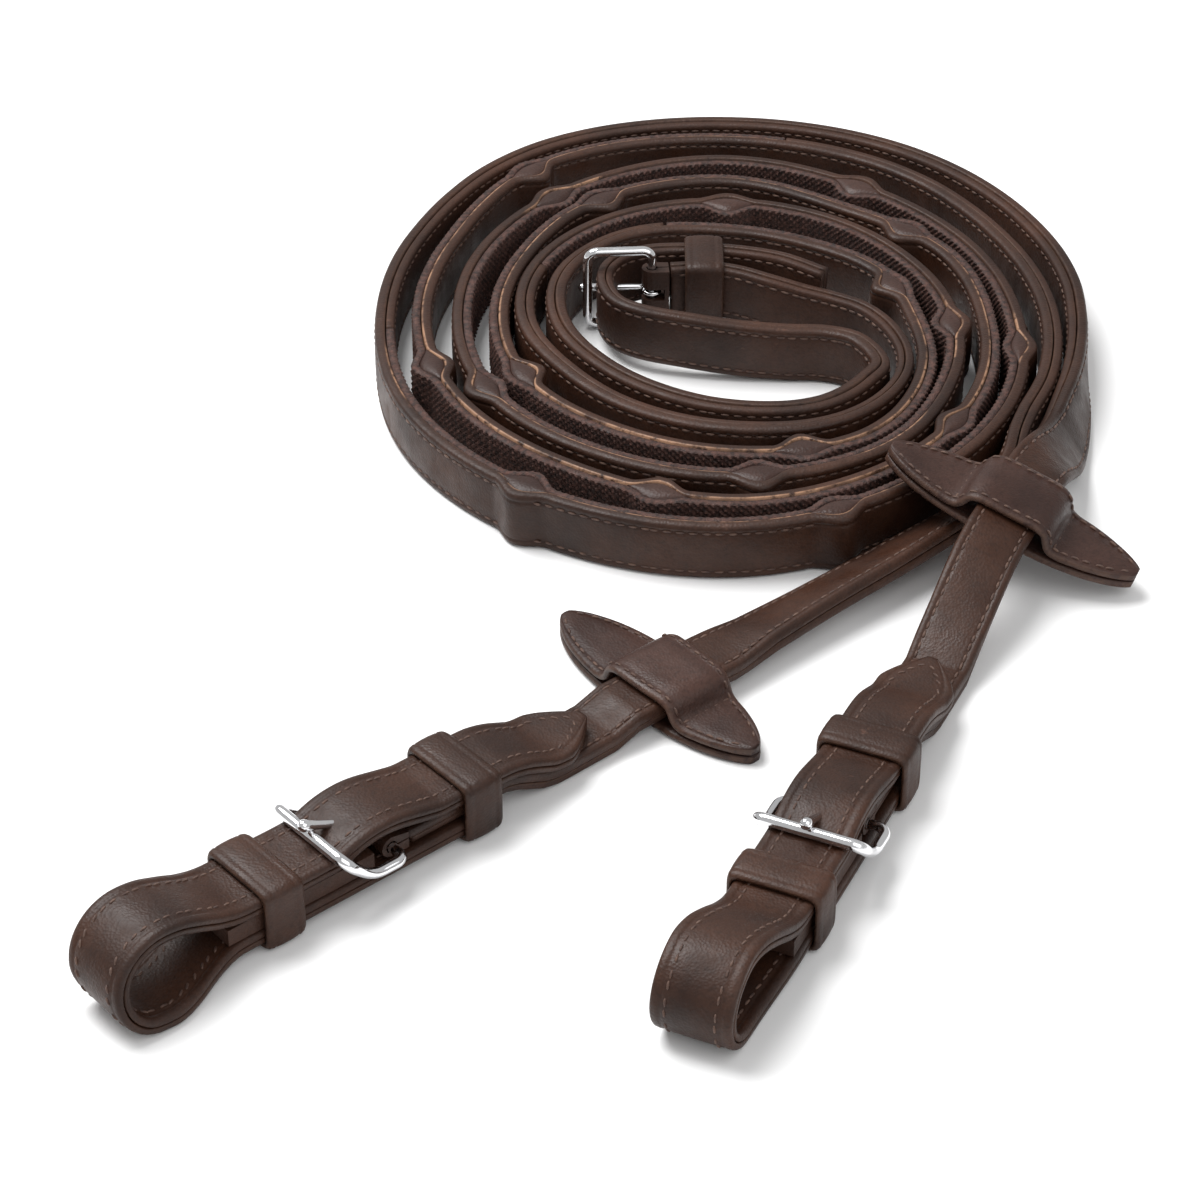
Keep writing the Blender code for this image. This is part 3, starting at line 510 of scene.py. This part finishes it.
def piece(name, kind, points, faces, nodes=(), body="reins", marks=None):
    """An object from points in millimetres, riding on a body and standing for some nodes."""
    moved = (np.asarray(points, float).reshape(-1, 3) + np.array(SHIFT)) * 0.001
    faces = np.asarray(faces)
    mesh = bpy.data.meshes.new(name)
    mesh.vertices.add(len(moved))
    mesh.vertices.foreach_set("co", moved.ravel())
    size = faces.shape[1]
    mesh.loops.add(faces.size)
    mesh.loops.foreach_set("vertex_index", faces.ravel())
    mesh.polygons.add(len(faces))
    mesh.polygons.foreach_set("loop_start", np.arange(0, faces.size, size))
    mesh.update(calc_edges=True)
    mesh.validate()
    if marks:
        for label, values in marks.items():
            layer = mesh.attributes.new(label, "FLOAT", "POINT")
            layer.data.foreach_set("value", np.asarray(values, float).ravel())
    mesh.polygons.foreach_set("use_smooth", [True] * len(mesh.polygons))
    mesh.materials.append(MATERIALS[kind])
    obj = bpy.data.objects.new(name, mesh)
    bpy.context.collection.objects.link(obj)
    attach(obj, body)
    if nodes:
        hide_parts(*nodes)
    return obj


def skin(rings, closed=False):
    """Triangles over rings of equal size, with fans at the ends unless the row of rings is closed."""
    rings = np.asarray(rings, float)
    n, k, _ = rings.shape
    i = np.arange(n if closed else n - 1)[:, None]
    j = np.arange(k)
    after = (j + 1) % k
    a, b = i * k, (i + 1) % n * k
    quads = np.stack([a + j, a + after, b + after, b + j], -1).reshape(-1, 4)
    faces = np.vstack([quads[:, [0, 1, 2]], quads[:, [0, 2, 3]]])
    points = rings.reshape(-1, 3)
    if not closed:
        low, high, last = len(points), len(points) + 1, (n - 1) * k
        points = np.vstack([points, rings[0].mean(0), rings[-1].mean(0)])
        near_fan = np.stack([after, j, np.full(k, low)], -1)
        far_fan = np.stack([last + j, last + after, np.full(k, high)], -1)
        faces = np.vstack([faces, near_fan, far_fan])
    corners = points[faces]
    volume = np.einsum("ij,ij->", corners[:, 0], np.cross(corners[:, 1], corners[:, 2]))
    return points, faces[:, ::-1] if volume < 0 else faces


def unit(v):
    return v / np.linalg.norm(v, axis=-1, keepdims=True)


def rod(path, radii, side, sides=14, closed=False):
    """A round bar along a path."""
    path = np.asarray(path, float)
    steps = np.roll(path, -1, 0) - np.roll(path, 1, 0)
    if not closed:
        steps[0], steps[-1] = path[1] - path[0], path[-1] - path[-2]
    along = unit(steps)
    one = unit(np.cross(along, side))
    two = np.cross(along, one)
    a = np.linspace(0, 2 * math.pi, sides, endpoint=False)[None, :, None]
    radii = np.asarray(radii, float)[:, None, None]
    rings = path[:, None] + radii * (np.cos(a) * one[:, None] + np.sin(a) * two[:, None])
    return skin(rings, closed)


def stitches(places, along, out, half=1.15, radius=0.36):
    """Short sewn threads lying on a surface, as one mesh."""
    places, along, out = (np.asarray(a, float) for a in (places, along, out))
    along = unit(along)
    side = unit(np.cross(along, out))
    out = np.cross(side, along)
    reach = np.array([-1.0, -0.72, -0.25, 0.25, 0.72, 1.0]) * half
    fat = np.array([0.35, 0.8, 1.0, 1.0, 0.8, 0.35]) * radius
    sink = np.array([-0.35, 0.0, 0.12, 0.12, 0.0, -0.35]) * radius
    a = np.linspace(0, 2 * math.pi, 6, endpoint=False)
    middles = along[:, None] * reach[None, :, None] + out[:, None] * sink[None, :, None]
    rounds = np.cos(a)[:, None] * side[:, None, None] + np.sin(a)[:, None] * out[:, None, None]
    rings = places[:, None, None] + middles[:, :, None] + fat[None, :, None, None] * rounds
    n = len(places)
    points = rings.reshape(-1, 3)
    i, j = np.arange(5)[:, None], np.arange(6)[None, :]
    jj = (j + 1) % 6
    quads = np.stack([i * 6 + j, i * 6 + jj, (i + 1) * 6 + jj, (i + 1) * 6 + j], -1).reshape(-1, 4)
    caps = np.array([(0, 5, 4, 3), (0, 3, 2, 1), (30, 31, 32, 33), (30, 33, 34, 35)])
    one = np.vstack([quads, caps])
    faces = (one[None] + 36 * np.arange(n)[:, None, None]).reshape(-1, 4)
    return points, faces


def join(*meshes):
    points, faces, start = [], [], 0
    for p, f in meshes:
        f = np.asarray(f)
        if f.shape[1] == 4:
            f = np.vstack([f[:, [0, 1, 2]], f[:, [0, 2, 3]]])
        points.append(p)
        faces.append(f + start)
        start += len(p)
    return np.vstack(points), np.vstack(faces)


def wander(s, seed, sizes=((41.0, 0.5), (13.0, 0.3), (5.3, 0.2))):
    """A smooth value from -1 to 1 that changes slowly with length."""
    turn = 2 * math.pi
    return sum(w * np.sin(s / size * turn + seed * (2.1 + size)) for size, w in sizes)


class Strap:
    """A half's route every millimetre or so, as arrays."""

    def __init__(self, half):
        self.half = half
        rows = [(s.point, s.face, s.width, 1.0) for s in half.fine]
        last = rows[-1]
        for _, s in half.end_rows:
            to = (s.point, s.face, s.width, s.thin)
            count = max(2, int(np.linalg.norm(to[0] - last[0]) / 1.1))
            for t in np.linspace(0, 1, count + 1)[1:]:
                rows.append(tuple(a * (1 - t) + b * t for a, b in zip(last, to)))
            last = to
        self.p = np.array([r[0] for r in rows])
        self.f = unit(np.array([r[1] for r in rows]))
        self.w = unit(np.array([r[2] for r in rows]))
        self.s = lengths_along(self.p)
        self.thin = np.array([r[3] for r in rows]) * np.interp(self.s, [0, 90, 150], [THIN, THIN, 1.0])
        self.lift = np.zeros(len(rows))
        self.back = np.zeros(len(rows))
        for centre, inward, outward in half.bulges:
            u = (self.s - centre) / STOP_HALF
            rise = np.cos(math.pi / 2 * u) ** 2 * (abs(u) < 1)
            self.lift += outward * rise
            self.back += inward * rise

    def zone(self, spans, soft=4.0):
        """1 inside the spans and 0 outside, with soft ends."""
        value = np.zeros(len(self.s))
        for start, stop in spans:
            a, b = self.half.length_at(*start), self.half.length_at(*stop)
            value = np.maximum(value, np.clip(np.minimum(self.s - a, b - self.s) / soft + 0.5, 0, 1))
        return value

    def rings(self, chosen, low, high, across, depth, wave=0.0):
        """Rings of a ply: across is in mm, depth from 0 at the inner face to 1 at the outer one."""
        i = np.nonzero(chosen)[0]
        out = low[i, None] + (high - low)[i, None] * depth + wave
        return self.p[i, None] + self.f[i, None] * out[..., None] + self.w[i, None] * across[:, None]

    def stitch_rows(self, at, height, outward):
        """Two rows of stitches at these lengths, at a height over the ply line; outward is +1 or -1."""
        k = np.searchsorted(self.s, at).clip(1, len(self.s) - 2)
        tilt = unit(self.p[k + 1] - self.p[k - 1])
        rows = []
        for sign in (-1, 1):
            place = self.p[k] + self.f[k] * height[k][:, None] + self.w[k] * sign * STITCH_AT
            rows.append(stitches(place, tilt, self.f[k] * outward))
        return join(*rows)


# Cross-section of a ply: across, depth. A groove for the stitches runs along each side.
SHOULDER = [(7.9, 0.74), (7.5, 0.93), (6.7, 1.0), (6.25, 0.97)]
SHOULDER += [(5.9, 0.87), (5.55, 0.97), (5.0, 1.0), (2.5, 1.03)]
SECTION = np.array(
    [(-7.75, 0.0), (-7.96, 0.22), (-8.0, 0.45)]
    + [(-x, y) for x, y in SHOULDER]
    + [(0.0, 1.04)]
    + SHOULDER[::-1]
    + [(8.0, 0.40), (8.0, 0.22), (7.97, 0.12), (7.8, 0.0), (4.0, 0.0), (-4.0, 0.0)]
)
# How raw the cut edge is at each point of the section: only its top inner corner is
RAW = np.zeros(len(SECTION))
RAW[-5:-2] = (0.05, 1.0, 1.0)
STITCH_AT = 5.75
STITCH_STEP = 3.1
# Depth of the stitch groove as a share of the ply, and how far a thread's middle stands over its floor
GROOVE = 0.13
PROUD = 0.16


def with_caps(values):
    """A value for each point of a skin: those of its rings, and 0 for the middle of each end."""
    return np.concatenate([np.asarray(values).ravel(), [0, 0]])


def outer_ply(strap, tan_spans):
    half = strap.half
    low = strap.lift + HALF_GAP
    high = low + LEATHER * strap.thin
    everywhere = np.ones(len(strap.s), bool)
    across, depth = SECTION.T
    outer = depth > 0.6
    crown = 0.10 * wander(strap.s, 1.0)[:, None] * (1 - (across / 8.0) ** 2) * outer
    swell = np.clip(strap.lift / 4.0, 0, 1)[:, None] * 0.5 * ((1 - (abs(across) / 8.0) ** 3) * outer)
    rings = strap.rings(everywhere, low, high, across, depth, crown + swell - 0.12 * (swell > 0))
    points, faces = skin(rings)
    bright = strap.zone(tan_spans) * np.clip(0.75 + 0.6 * wander(strap.s, 2.0), 0.0, 1.0)
    edge = (0.05 + 0.8 * bright)[:, None] * RAW
    marks = {"edge": with_caps(edge)}
    piece(f"{half.name}_outer_strap", "leather", points, faces, [f"{half.name}_rein_leather"], marks=marks)
    at = np.arange(6.0, half.length - 3.0, STITCH_STEP)
    far = np.min([abs(at - c) for c, _, _ in half.bulges], axis=0)
    at = at[far > STOP_HALF * 0.62]
    height = high - GROOVE * LEATHER * strap.thin + PROUD
    piece(f"{half.name}_strap_stitching", "thread", *strap.stitch_rows(at, height, 1))


def lining(strap, label, node, start, stop):
    """A leather inner ply, with its own rounded edge and stitching."""
    half = strap.half
    chosen = (strap.s >= start) & (strap.s <= stop)
    high = -strap.back - HALF_GAP
    low = high - LINING * strap.thin
    across, depth = SECTION.T
    rings = strap.rings(chosen, high, low, across * LINING_HALF / 8.0, depth)
    points, faces = skin(rings)
    marks = {"edge": with_caps(np.tile(RAW * 0.05, (len(rings), 1)))}
    piece(f"{half.name}_{label}", "lining", points, faces, [node], marks=marks)
    at = np.arange(start + 3.0, stop - 3.0, STITCH_STEP)
    height = low + GROOVE * LINING * strap.thin - PROUD
    piece(f"{half.name}_{label}_stitching", "thread", *strap.stitch_rows(at, height, -1))


def webbing(strap):
    """Grip webbing: a checker of raised picks over a woven band."""
    half = strap.half
    start, stop = half.web_from + HALF_GAP, half.web_to - HALF_GAP
    s = np.linspace(start, stop, int((stop - start) / 0.42))
    of = lambda values: np.column_stack([np.interp(s, strap.s, column) for column in values.T])
    point, face, width = of(strap.p), unit(of(strap.f)), unit(of(strap.w))
    high = -np.interp(s, strap.s, strap.back) - HALF_GAP
    low = high - LINING * np.interp(s, strap.s, strap.thin)
    columns = np.linspace(-WEBBING_HALF, WEBBING_HALF, 35)
    rest = columns[::-8]
    across = np.concatenate([columns, [WEBBING_HALF + 0.1], rest, [-WEBBING_HALF - 0.1]])
    depth = np.concatenate([np.full(35, 0.84), [0.45], np.zeros(len(rest)), [0.45]])
    beat = np.sin(math.pi * s / 0.95)[:, None] * np.sin(math.pi * (across + 0.3) / 0.95)[None, :]
    pick = np.clip(beat * 1.5, -0.15, 1.0) * (0.85 + 0.15 * np.sin(s * 2.9 + 1.0)[:, None])
    pick[:, 35:] = 0.0
    out = high[:, None] + (low - high)[:, None] * depth[None, :] - 0.55 * pick
    rings = point[:, None] + face[:, None] * out[..., None] + width[:, None] * across[None, :, None]
    points, faces = skin(rings)
    # the pick height, which webbing_material turns into a painted highlight on the raised picks
    marks = {"high": with_caps(np.clip(pick, 0, 1))}
    piece(f"{half.name}_webbing", "webbing", points, faces, [f"{half.name}_grip_webbing"], marks=marks)


def hand_stops(strap):
    """The stiffener in each raised stop: it fills the bulge and domes over the top edge."""
    half = strap.half
    meshes = []
    a = np.linspace(0, 2 * math.pi, 28, endpoint=False)
    across = np.sign(np.cos(a)) * abs(np.cos(a)) ** 0.4
    depth = np.sign(np.sin(a)) * abs(np.sin(a)) ** 0.75
    for centre, inward, outward in half.bulges:
        u = (strap.s - centre) / (0.98 * STOP_HALF)
        chosen = abs(u) < 1
        round_off = np.sqrt(np.clip(1 - u * u, 0, 1))
        fat = (0.5 * (strap.lift + strap.back) + 0.2 + 0.95 * round_off**1.2)[chosen]
        middle_out = (0.5 * (strap.lift - strap.back) + 0.25)[chosen]
        tall = 7.0 + 1.15 * round_off[chosen]
        out = middle_out[:, None] + fat[:, None] * depth[None, :]
        high_up = tall[:, None] * across[None, :]
        i = np.nonzero(chosen)[0]
        rings = strap.p[i, None] + strap.f[i, None] * out[..., None] + strap.w[i, None] * high_up[..., None]
        meshes.append(skin(rings))
    names = [f"{half.name}_hand_stop_{i + 1}" for i in range(len(half.bulges))]
    points, faces = join(*meshes)
    piece(f"{half.name}_hand_stops", "stops", points, faces, names, marks={"edge": np.zeros(len(points))})


# The bit ends


def band(name, place, half_x, half_y, width, node, body="reins"):
    """A keeper or runner: a soft-cornered band with rounded edges and a shallow groove near each edge."""
    a = np.linspace(0, 2 * math.pi, 56, endpoint=False)
    side = [(0.1, 1.06), (0.26, 1.0), (0.3, 0.9), (0.34, 1.0), (0.44, 0.85), (0.5, 0.55), (0.5, 0.1)]
    section = [(-t, d) for t, d in reversed(side)] + side + [(0.2, 0.0), (-0.2, 0.0)]

    def outline(angle, grow):
        c, s = math.cos(angle), math.sin(angle)
        power = 0.22
        x = np.sign(c) * abs(c) ** power * (half_x + grow)
        y = np.sign(s) * abs(s) ** power * (half_y + grow)
        return x, y

    rings = []
    for angle in a:
        ring = []
        for t, d in section:
            x, y = outline(angle, 0.06 + KEEPER_WALL * 0.96 * d)
            ring.append(place(x, y, t * width))
        rings.append(ring)
    points, faces = skin(rings, closed=True)
    edge = [0.06 if abs(t) > 0.48 else 0.0 for t, _ in section]
    piece(name, "leather", points, faces, [node], body, marks={"edge": np.tile(edge, len(a))})


def billet(end):
    """Both plies of the billet, folded into the loop, with edge stitching on the outside."""
    line = spline(end.billet_line(), 1.0)
    line = line[np.concatenate([[True], np.linalg.norm(np.diff(line, axis=0), axis=1) > 0.35])]
    steps = unit(np.gradient(line, axis=0))
    out = np.column_stack([steps[:, 1], -steps[:, 0]])
    turn = int(np.argmax(line[:, 0]))
    halves = np.array([end.tip_half(u, i > turn) for i, (u, _) in enumerate(line)])
    shift = np.array([end.bend(u, z) for u, z in line])
    across, depth = SECTION.T
    for label, low, high, node in (
        ("billet_strap", HALF_GAP, HALF_GAP + BILLET_PLY, "billet"),
        ("billet_back", -HALF_GAP, -HALF_GAP - BILLET_PLY, "billet_lining"),
    ):
        d = low + (high - low) * depth
        place = line[:, None] + out[:, None] * d[None, :, None]
        v = shift[:, None] + halves[:, None] * (across / 8.0)[None, :]
        points, faces = skin(end.all_at(place[..., 0], v, place[..., 1]))
        marks = {"edge": with_caps(np.tile(RAW * 0.03, (len(line), 1)))}
        piece(f"{end.name}_{label}", "leather", points, faces, [f"{end.name}_{node}"], marks=marks)
    length = lengths_along(line)
    at = np.arange(2.0, length[-1] - 1.5, 2.7)
    k = np.searchsorted(length, at).clip(1, len(line) - 2)
    rows = []
    for face in (1, -1):
        for sign in (-1, 1):
            v = shift[k] + sign * np.maximum(halves[k] - 3.7, 0.0)
            z = line[k] + out[k] * face * (HALF_GAP + BILLET_PLY - 0.02)
            place = end.all_at(z[:, 0], v, z[:, 1])
            along = end.all_at(steps[k, 0], np.gradient(v), steps[k, 1]) - end.at(0, 0, 0)
            normal = end.all_at(out[k, 0] * face, 0.0, out[k, 1] * face) - end.at(0, 0, 0)
            rows.append(stitches(place, along, normal, 1.0, 0.32))
    piece(f"{end.name}_billet_stitching", "thread", *join(*rows))


def wire_frame(half, reach, drop):
    """A closed buckle outline with round corners and arms that fall from the far bar: across, along, drop."""
    side = half - WIRE
    corner = 2.6
    turn = np.radians(np.linspace(0, 90, 8))
    right = [(x, 0.0) for x in np.linspace(0, side - corner, 8)]
    right += [(side - corner + corner * math.sin(t), -corner * (1 - math.cos(t))) for t in turn[1:]]
    right += [(side, u) for u in np.linspace(-corner - 1.0, -reach + corner, 10)]
    right += [(side - corner * (1 - math.cos(t)), -reach + corner * (1 - math.sin(t))) for t in turn[1:]]
    right += [(x, -reach) for x in np.linspace(side - corner, 0, 8)[1:]]
    whole = right[:-1] + [(-v, u) for v, u in reversed(right)][:-1]
    fall = lambda u: -drop * min(1.0, math.sin(min(1.0, -u / (0.62 * reach)) * math.pi / 2))
    return np.array([(v, u, fall(u)) for v, u in whole])


# Radius of a prong from the end of its hook to the last quarter of its length
PRONG_RADII = [0.6] * 8 + [0.65, 0.72, 0.84, 0.94, 1.0, 1.0, 1.0]


def bit_hardware(end):
    name = end.name
    frame_line = wire_frame(BIT_BUCKLE_HALF, BAR_REACH, FAR_BAR_Z - BASE_BAR_Z)
    path = np.array([end.at(u, v, FAR_BAR_Z + d) for v, u, d in frame_line])
    radii = WIRE * (1.0 + 0.12 * np.exp(-((frame_line[:, 1] / 3.0) ** 2)))
    points, faces = rod(path, radii, np.array([0.0, 0.0, 1.0]), 16, closed=True)
    piece(f"{name}_buckle_wire", "steel", points, faces, [f"{name}_bit_buckle"])
    bar = (-BAR_REACH, BASE_BAR_Z)
    hook = hook_path(bar, 2.1, 376, 117, (0.4, 19.05), 8)
    hook += [(1.5, 19.55), (2.3, 19.75), (2.8, 19.8)]
    radii = PRONG_RADII + [1.1, 1.3, 1.5, 1.2, 0.3]
    path = np.array([end.at(u, 0.0, z) for u, z in hook])
    points, faces = rod(path, radii, end.left, 14)
    piece(f"{name}_buckle_prong", "steel", points, faces, [f"{name}_bit_prong"], f"{name}_prong")
    low, high = LOWER_Z - HALF_GAP - BILLET_PLY, TOP_Z + HALF_GAP + BILLET_PLY
    half_y = (high - low) / 2 + GAP
    bands = (("bit_keeper", KEEPER_AT, "reins"), ("bit_runner", end.runner, f"{name}_runner"))
    for label, u, body in bands:
        place = lambda x, y, along, u=u: end.at(u + along, x, (low + high) / 2 + y)
        node = f"{name}_{label}"
        band(f"{node}_band", place, BILLET_HALF + 0.4, half_y, KEEPER_WIDTH, node, body)


def leaf_section():
    """Cross-section of a rein stop's leaf, from -1 to 1 across, with a stitch groove near each edge."""
    left = [(-1.0, 0.0), (-0.97, 0.6), (-0.9, 0.92), (-0.78, 1.0), (-0.74, 0.86), (-0.70, 1.0)]
    left += [(-0.35, 1.08), (0.0, 1.1)]
    top = left + [(-x, y) for x, y in reversed(left[:-1])]
    under = [(x, -y * 0.95) for x, y in reversed(top[1:-1])]
    return np.array(top + under)


class ReinStop:
    """Two leather leaves across the strap, pointed at both ends and sewn together round it."""

    HALF_THICK = REIN_STOP_PLY / 2
    FLAT = -1.35
    OUTER = (24.0, 28.0, 31.5, 33.6, REIN_STOP_HALF)
    HUMP = [(5.0, 4.45), (8.0, 4.3), (10.3, 3.2), (11.3, 1.2), (12.5, -0.5), (14.8, -1.3), (18.5, FLAT)]

    def __init__(self, end):
        self.end = end
        half = end.half
        u, _, _, self.offset = half.stop
        length = lengths_along(half.line[:, :3])
        station = half.fine[int(np.argmin(abs(length - (length[-1] - STOP_SPAN))))]
        self.point = np.array([*end_point(end.end, u), half.line[-1][2]])
        self.across, self.out, self.along = station.width, station.face, end.along

    def at(self, q, n, v):
        """A point at q across the strap, n out from it and v along it."""
        q, n, v = (np.asarray(a)[..., None] for a in (q, n, v))
        return self.point + self.across * q + self.out * n + self.along * v

    def wide(self, q):
        """Half the leaf's width, which narrows to a blunt point at both ends."""
        share = np.clip(1 - (abs(q + self.offset) / (REIN_STOP_HALF + 0.2)) ** 2.6, 0, 1)
        return 1.0 + (REIN_STOP_WIDTH - 1.0) * share**0.72

    def path(self, inner, level):
        """(across, out) points of a leaf: the inner points mirrored, then flat to both ends."""
        right = inner + [(q - self.offset, level) for q in self.OUTER]
        left = [(-q, n) for q, n in reversed(inner)]
        return [(-q - self.offset, level) for q in reversed(self.OUTER)] + left, right

    def leaf(self, label, node, path):
        line = spline(path, 0.8)
        steps = unit(np.gradient(line, axis=0))
        normal = np.column_stack([-steps[:, 1], steps[:, 0]]) * self.HALF_THICK
        section = leaf_section()
        q = line[:, None, 0] + normal[:, None, 0] * section[:, 1]
        n = line[:, None, 1] + normal[:, None, 1] * section[:, 1]
        v = self.wide(line[:, 0])[:, None] * section[:, 0]
        points, faces = skin(self.at(q, n, v))
        edge = np.where(abs(section[:, 0]) > 0.96, 0.08, 0.0)
        name = self.end.name
        marks = {"edge": with_caps(np.tile(edge, (len(line), 1)))}
        body = f"{name}_rein_stop"
        piece(f"{name}_{label}", "stops", points, faces, [f"{name}_{node}"], body, marks)
        return line, steps, normal

    def stitching(self, line, steps, normal):
        """Stitches round the upper leaf and across it at both sides of the strap."""
        length = lengths_along(line)
        at = np.arange(3.0, length[-1] - 2.5, 2.9)
        k = np.searchsorted(length, at).clip(1, len(line) - 2)
        face = self.at(*normal[k].T, 0.0) - self.point
        rows = []
        for sign in (-1, 1):
            v = sign * np.maximum(self.wide(line[k, 0]) - 1.9, 0.0)
            run = self.at(*steps[k].T, np.gradient(v, at)) - self.point
            rows.append(stitches(self.at(*line[k].T, v) + face * 1.02, run, face, 1.05, 0.36))
        for q in (-13.6, 13.6):
            reach = self.wide(q) - 3.2
            place = self.at(q, -0.12, np.linspace(-reach, reach, 5))
            along, out = (np.tile(a, (5, 1)) for a in (self.along, self.out))
            rows.append(stitches(place, along, out, 1.05, 0.36))
        name = self.end.name
        piece(f"{name}_stop_stitching", "thread", *join(*rows), body=f"{name}_rein_stop")

    def build(self):
        left, right = self.path(self.HUMP, self.FLAT)
        upper = self.leaf("stop_upper_leaf", "rein_stop_top", left + [(0.0, 4.4)] + right)
        self.stitching(*upper)
        level = -(HALF_GAP + LINING + GAP + self.HALF_THICK)
        ends = [q - self.offset for q in (0.0, 12.0, 18.0, *self.OUTER)]
        base = [(-q - self.offset, level) for q in reversed((12.0, 18.0, *self.OUTER))]
        self.leaf("stop_lower_leaf", "rein_stop_base", base + [(q, level) for q in ends])


def middle():
    """The buckle, prong and keeper that join the halves."""
    base, far = np.array([*CENTRE_BAR, 0.0]), np.array([-3.4, 126.6, 0.0])
    reach = np.linalg.norm(far - base)
    toward = (far - base) / reach
    back = np.array([toward[1], -toward[0], 0.0])
    line = wire_frame(BUCKLE_HALF, reach, 0.0)
    height = BUCKLE_HALF + 0.1
    path = np.array([far + toward * u + np.array([0, 0, height + v]) for v, u, _ in line])
    points, faces = rod(path, np.full(len(path), WIRE), back, 16, closed=True)
    piece("centre_buckle_wire", "steel", points, faces, ["centre_buckle"])
    level = MIDDLE_LIFT + HALF_WIDTH
    hook = hook_path((0.0, 0.0), 2.1, 376, 92, (17.8, 2.65), 8) + [(18.9, 2.55), (19.7, 2.5), (20.1, 2.5)]
    radii = PRONG_RADII + [1.05, 1.1, 1.25, 1.0, 0.3]
    path = np.array([base + toward * a + back * b + np.array([0, 0, level]) for a, b in hook])
    points, faces = rod(path, radii, np.array([0.0, 0.0, 1.0]), 14)
    piece("centre_buckle_prong", "steel", points, faces, ["centre_prong"], "centre_prong")
    low, high = 124.8, 140.6
    place = lambda x, y, along: np.array([28.5 + along, (low + high) / 2 + y, level + x])
    band("centre_keeper_band", place, HALF_WIDTH + 0.3, (high - low) / 2, KEEPER_WIDTH, "centre_keeper")


def carried_over():
    """Nodes that are shown as they are take the full leather material."""
    folds = ("right_buckle_fold", "left_buckle_fold", "centre_buckle_fold")
    for name in (*folds, "right_keeper_tab", "left_keeper_tab"):
        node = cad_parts[name]
        node.data.materials.clear()
        node.data.materials.append(MATERIALS["lining"])


VIEW_RISE = 36.5
VIEW_DISTANCE = 0.9
LENS = 108.8


def set_stage():
    """Camera, pale floor and soft light."""
    centre = np.array(SHIFT) * 0.001
    rise = math.radians(VIEW_RISE)
    camera = bpy.data.cameras.new("camera")
    camera.lens, camera.sensor_width = LENS, 36.0
    holder = bpy.data.objects.new("camera", camera)
    bpy.context.collection.objects.link(holder)
    level, height = VIEW_DISTANCE * math.cos(rise), VIEW_DISTANCE * math.sin(rise)
    holder.location = (centre[0], centre[1] - level, height)
    holder.rotation_euler = (math.radians(90 - VIEW_RISE), 0.0, 0.0)
    bpy.context.scene.camera = holder
    mesh = bpy.data.meshes.new("floor")
    mesh.from_pydata([(-6, -6, 0), (6, -6, 0), (6, 6, 0), (-6, 6, 0)], [], [(0, 1, 2, 3)])
    floor = bpy.data.objects.new("floor", mesh)
    bpy.context.collection.objects.link(floor)
    floor.location.z = -0.0002
    paint = Nodes("floor")
    colour = paint.mix(paint.noise(3.0), (0.86, 0.86, 0.86), (0.90, 0.90, 0.90))
    mesh.materials.append(paint.finish(colour, 0.7, paint.bump(paint.noise(200.0), 0.02, 0.0001)))
    for name, size, power, place, turn in (
        ("key", 0.9, 27.0, (-0.55, 0.35, 1.25), (-18, -24, 0)),
        ("fill", 1.6, 9.0, (0.7, -0.9, 1.1), (38, 30, 0)),
    ):
        light = bpy.data.lights.new(name, "AREA")
        light.size, light.energy = size, power
        lamp = bpy.data.objects.new(name, light)
        bpy.context.collection.objects.link(lamp)
        lamp.location = place
        lamp.rotation_euler = [math.radians(a) for a in turn]
    world = bpy.data.worlds.new("world")
    world.use_nodes = True
    world.node_tree.nodes["Background"].inputs["Color"].default_value = (1.0, 1.0, 1.0, 1.0)
    world.node_tree.nodes["Background"].inputs["Strength"].default_value = 0.52
    bpy.context.scene.world = world
    bpy.context.scene.view_settings.view_transform = "Standard"


# Where the raw edge shows tan, as turn and angle of each stretch's ends
TAN_LEFT = [((0, 320), (2, 281))]
TAN_RIGHT = [((1, -8), (1, 20)), ((1, 45), (1, 65)), ((1, 92), (1, 158)), ((1, 225), (1, 245))]
TAN_RIGHT += [((2, 0), (2, 18)), ((2, 62), (2, 128)), ((2, 155), (2, 170))]

right_half = Half(
    "right", 1, RIGHT_MIDDLE, RIGHT_TURNS, 0,
    RIGHT_TAIL, RIGHT_END, RIGHT_STOP, RIGHT_HAND_STOPS, RIGHT_WEBBING,
)
left_half = Half(
    "left", -1, LEFT_MIDDLE, LEFT_TURNS, 30,
    LEFT_TAIL, LEFT_END, LEFT_STOP, LEFT_HAND_STOPS, LEFT_WEBBING,
)
for rein, runner_at, loop_set, spans in (
    (right_half, RIGHT_RUNNER, RIGHT_LOOP, TAN_RIGHT),
    (left_half, LEFT_RUNNER, LEFT_LOOP, TAN_LEFT),
):
    route = Strap(rein)
    outer_ply(route, spans)
    lining(route, "inner_back", f"{rein.name}_inner_lining", 0.0, rein.web_from - HALF_GAP)
    webbing(route)
    lining(route, "tail_back", f"{rein.name}_tail_lining", rein.web_to + HALF_GAP, rein.length)
    hand_stops(route)
    bit_end = BitEnd(rein, runner_at, loop_set)
    billet(bit_end)
    bit_hardware(bit_end)
    ReinStop(bit_end).build()
middle()
carried_over()
set_stage()
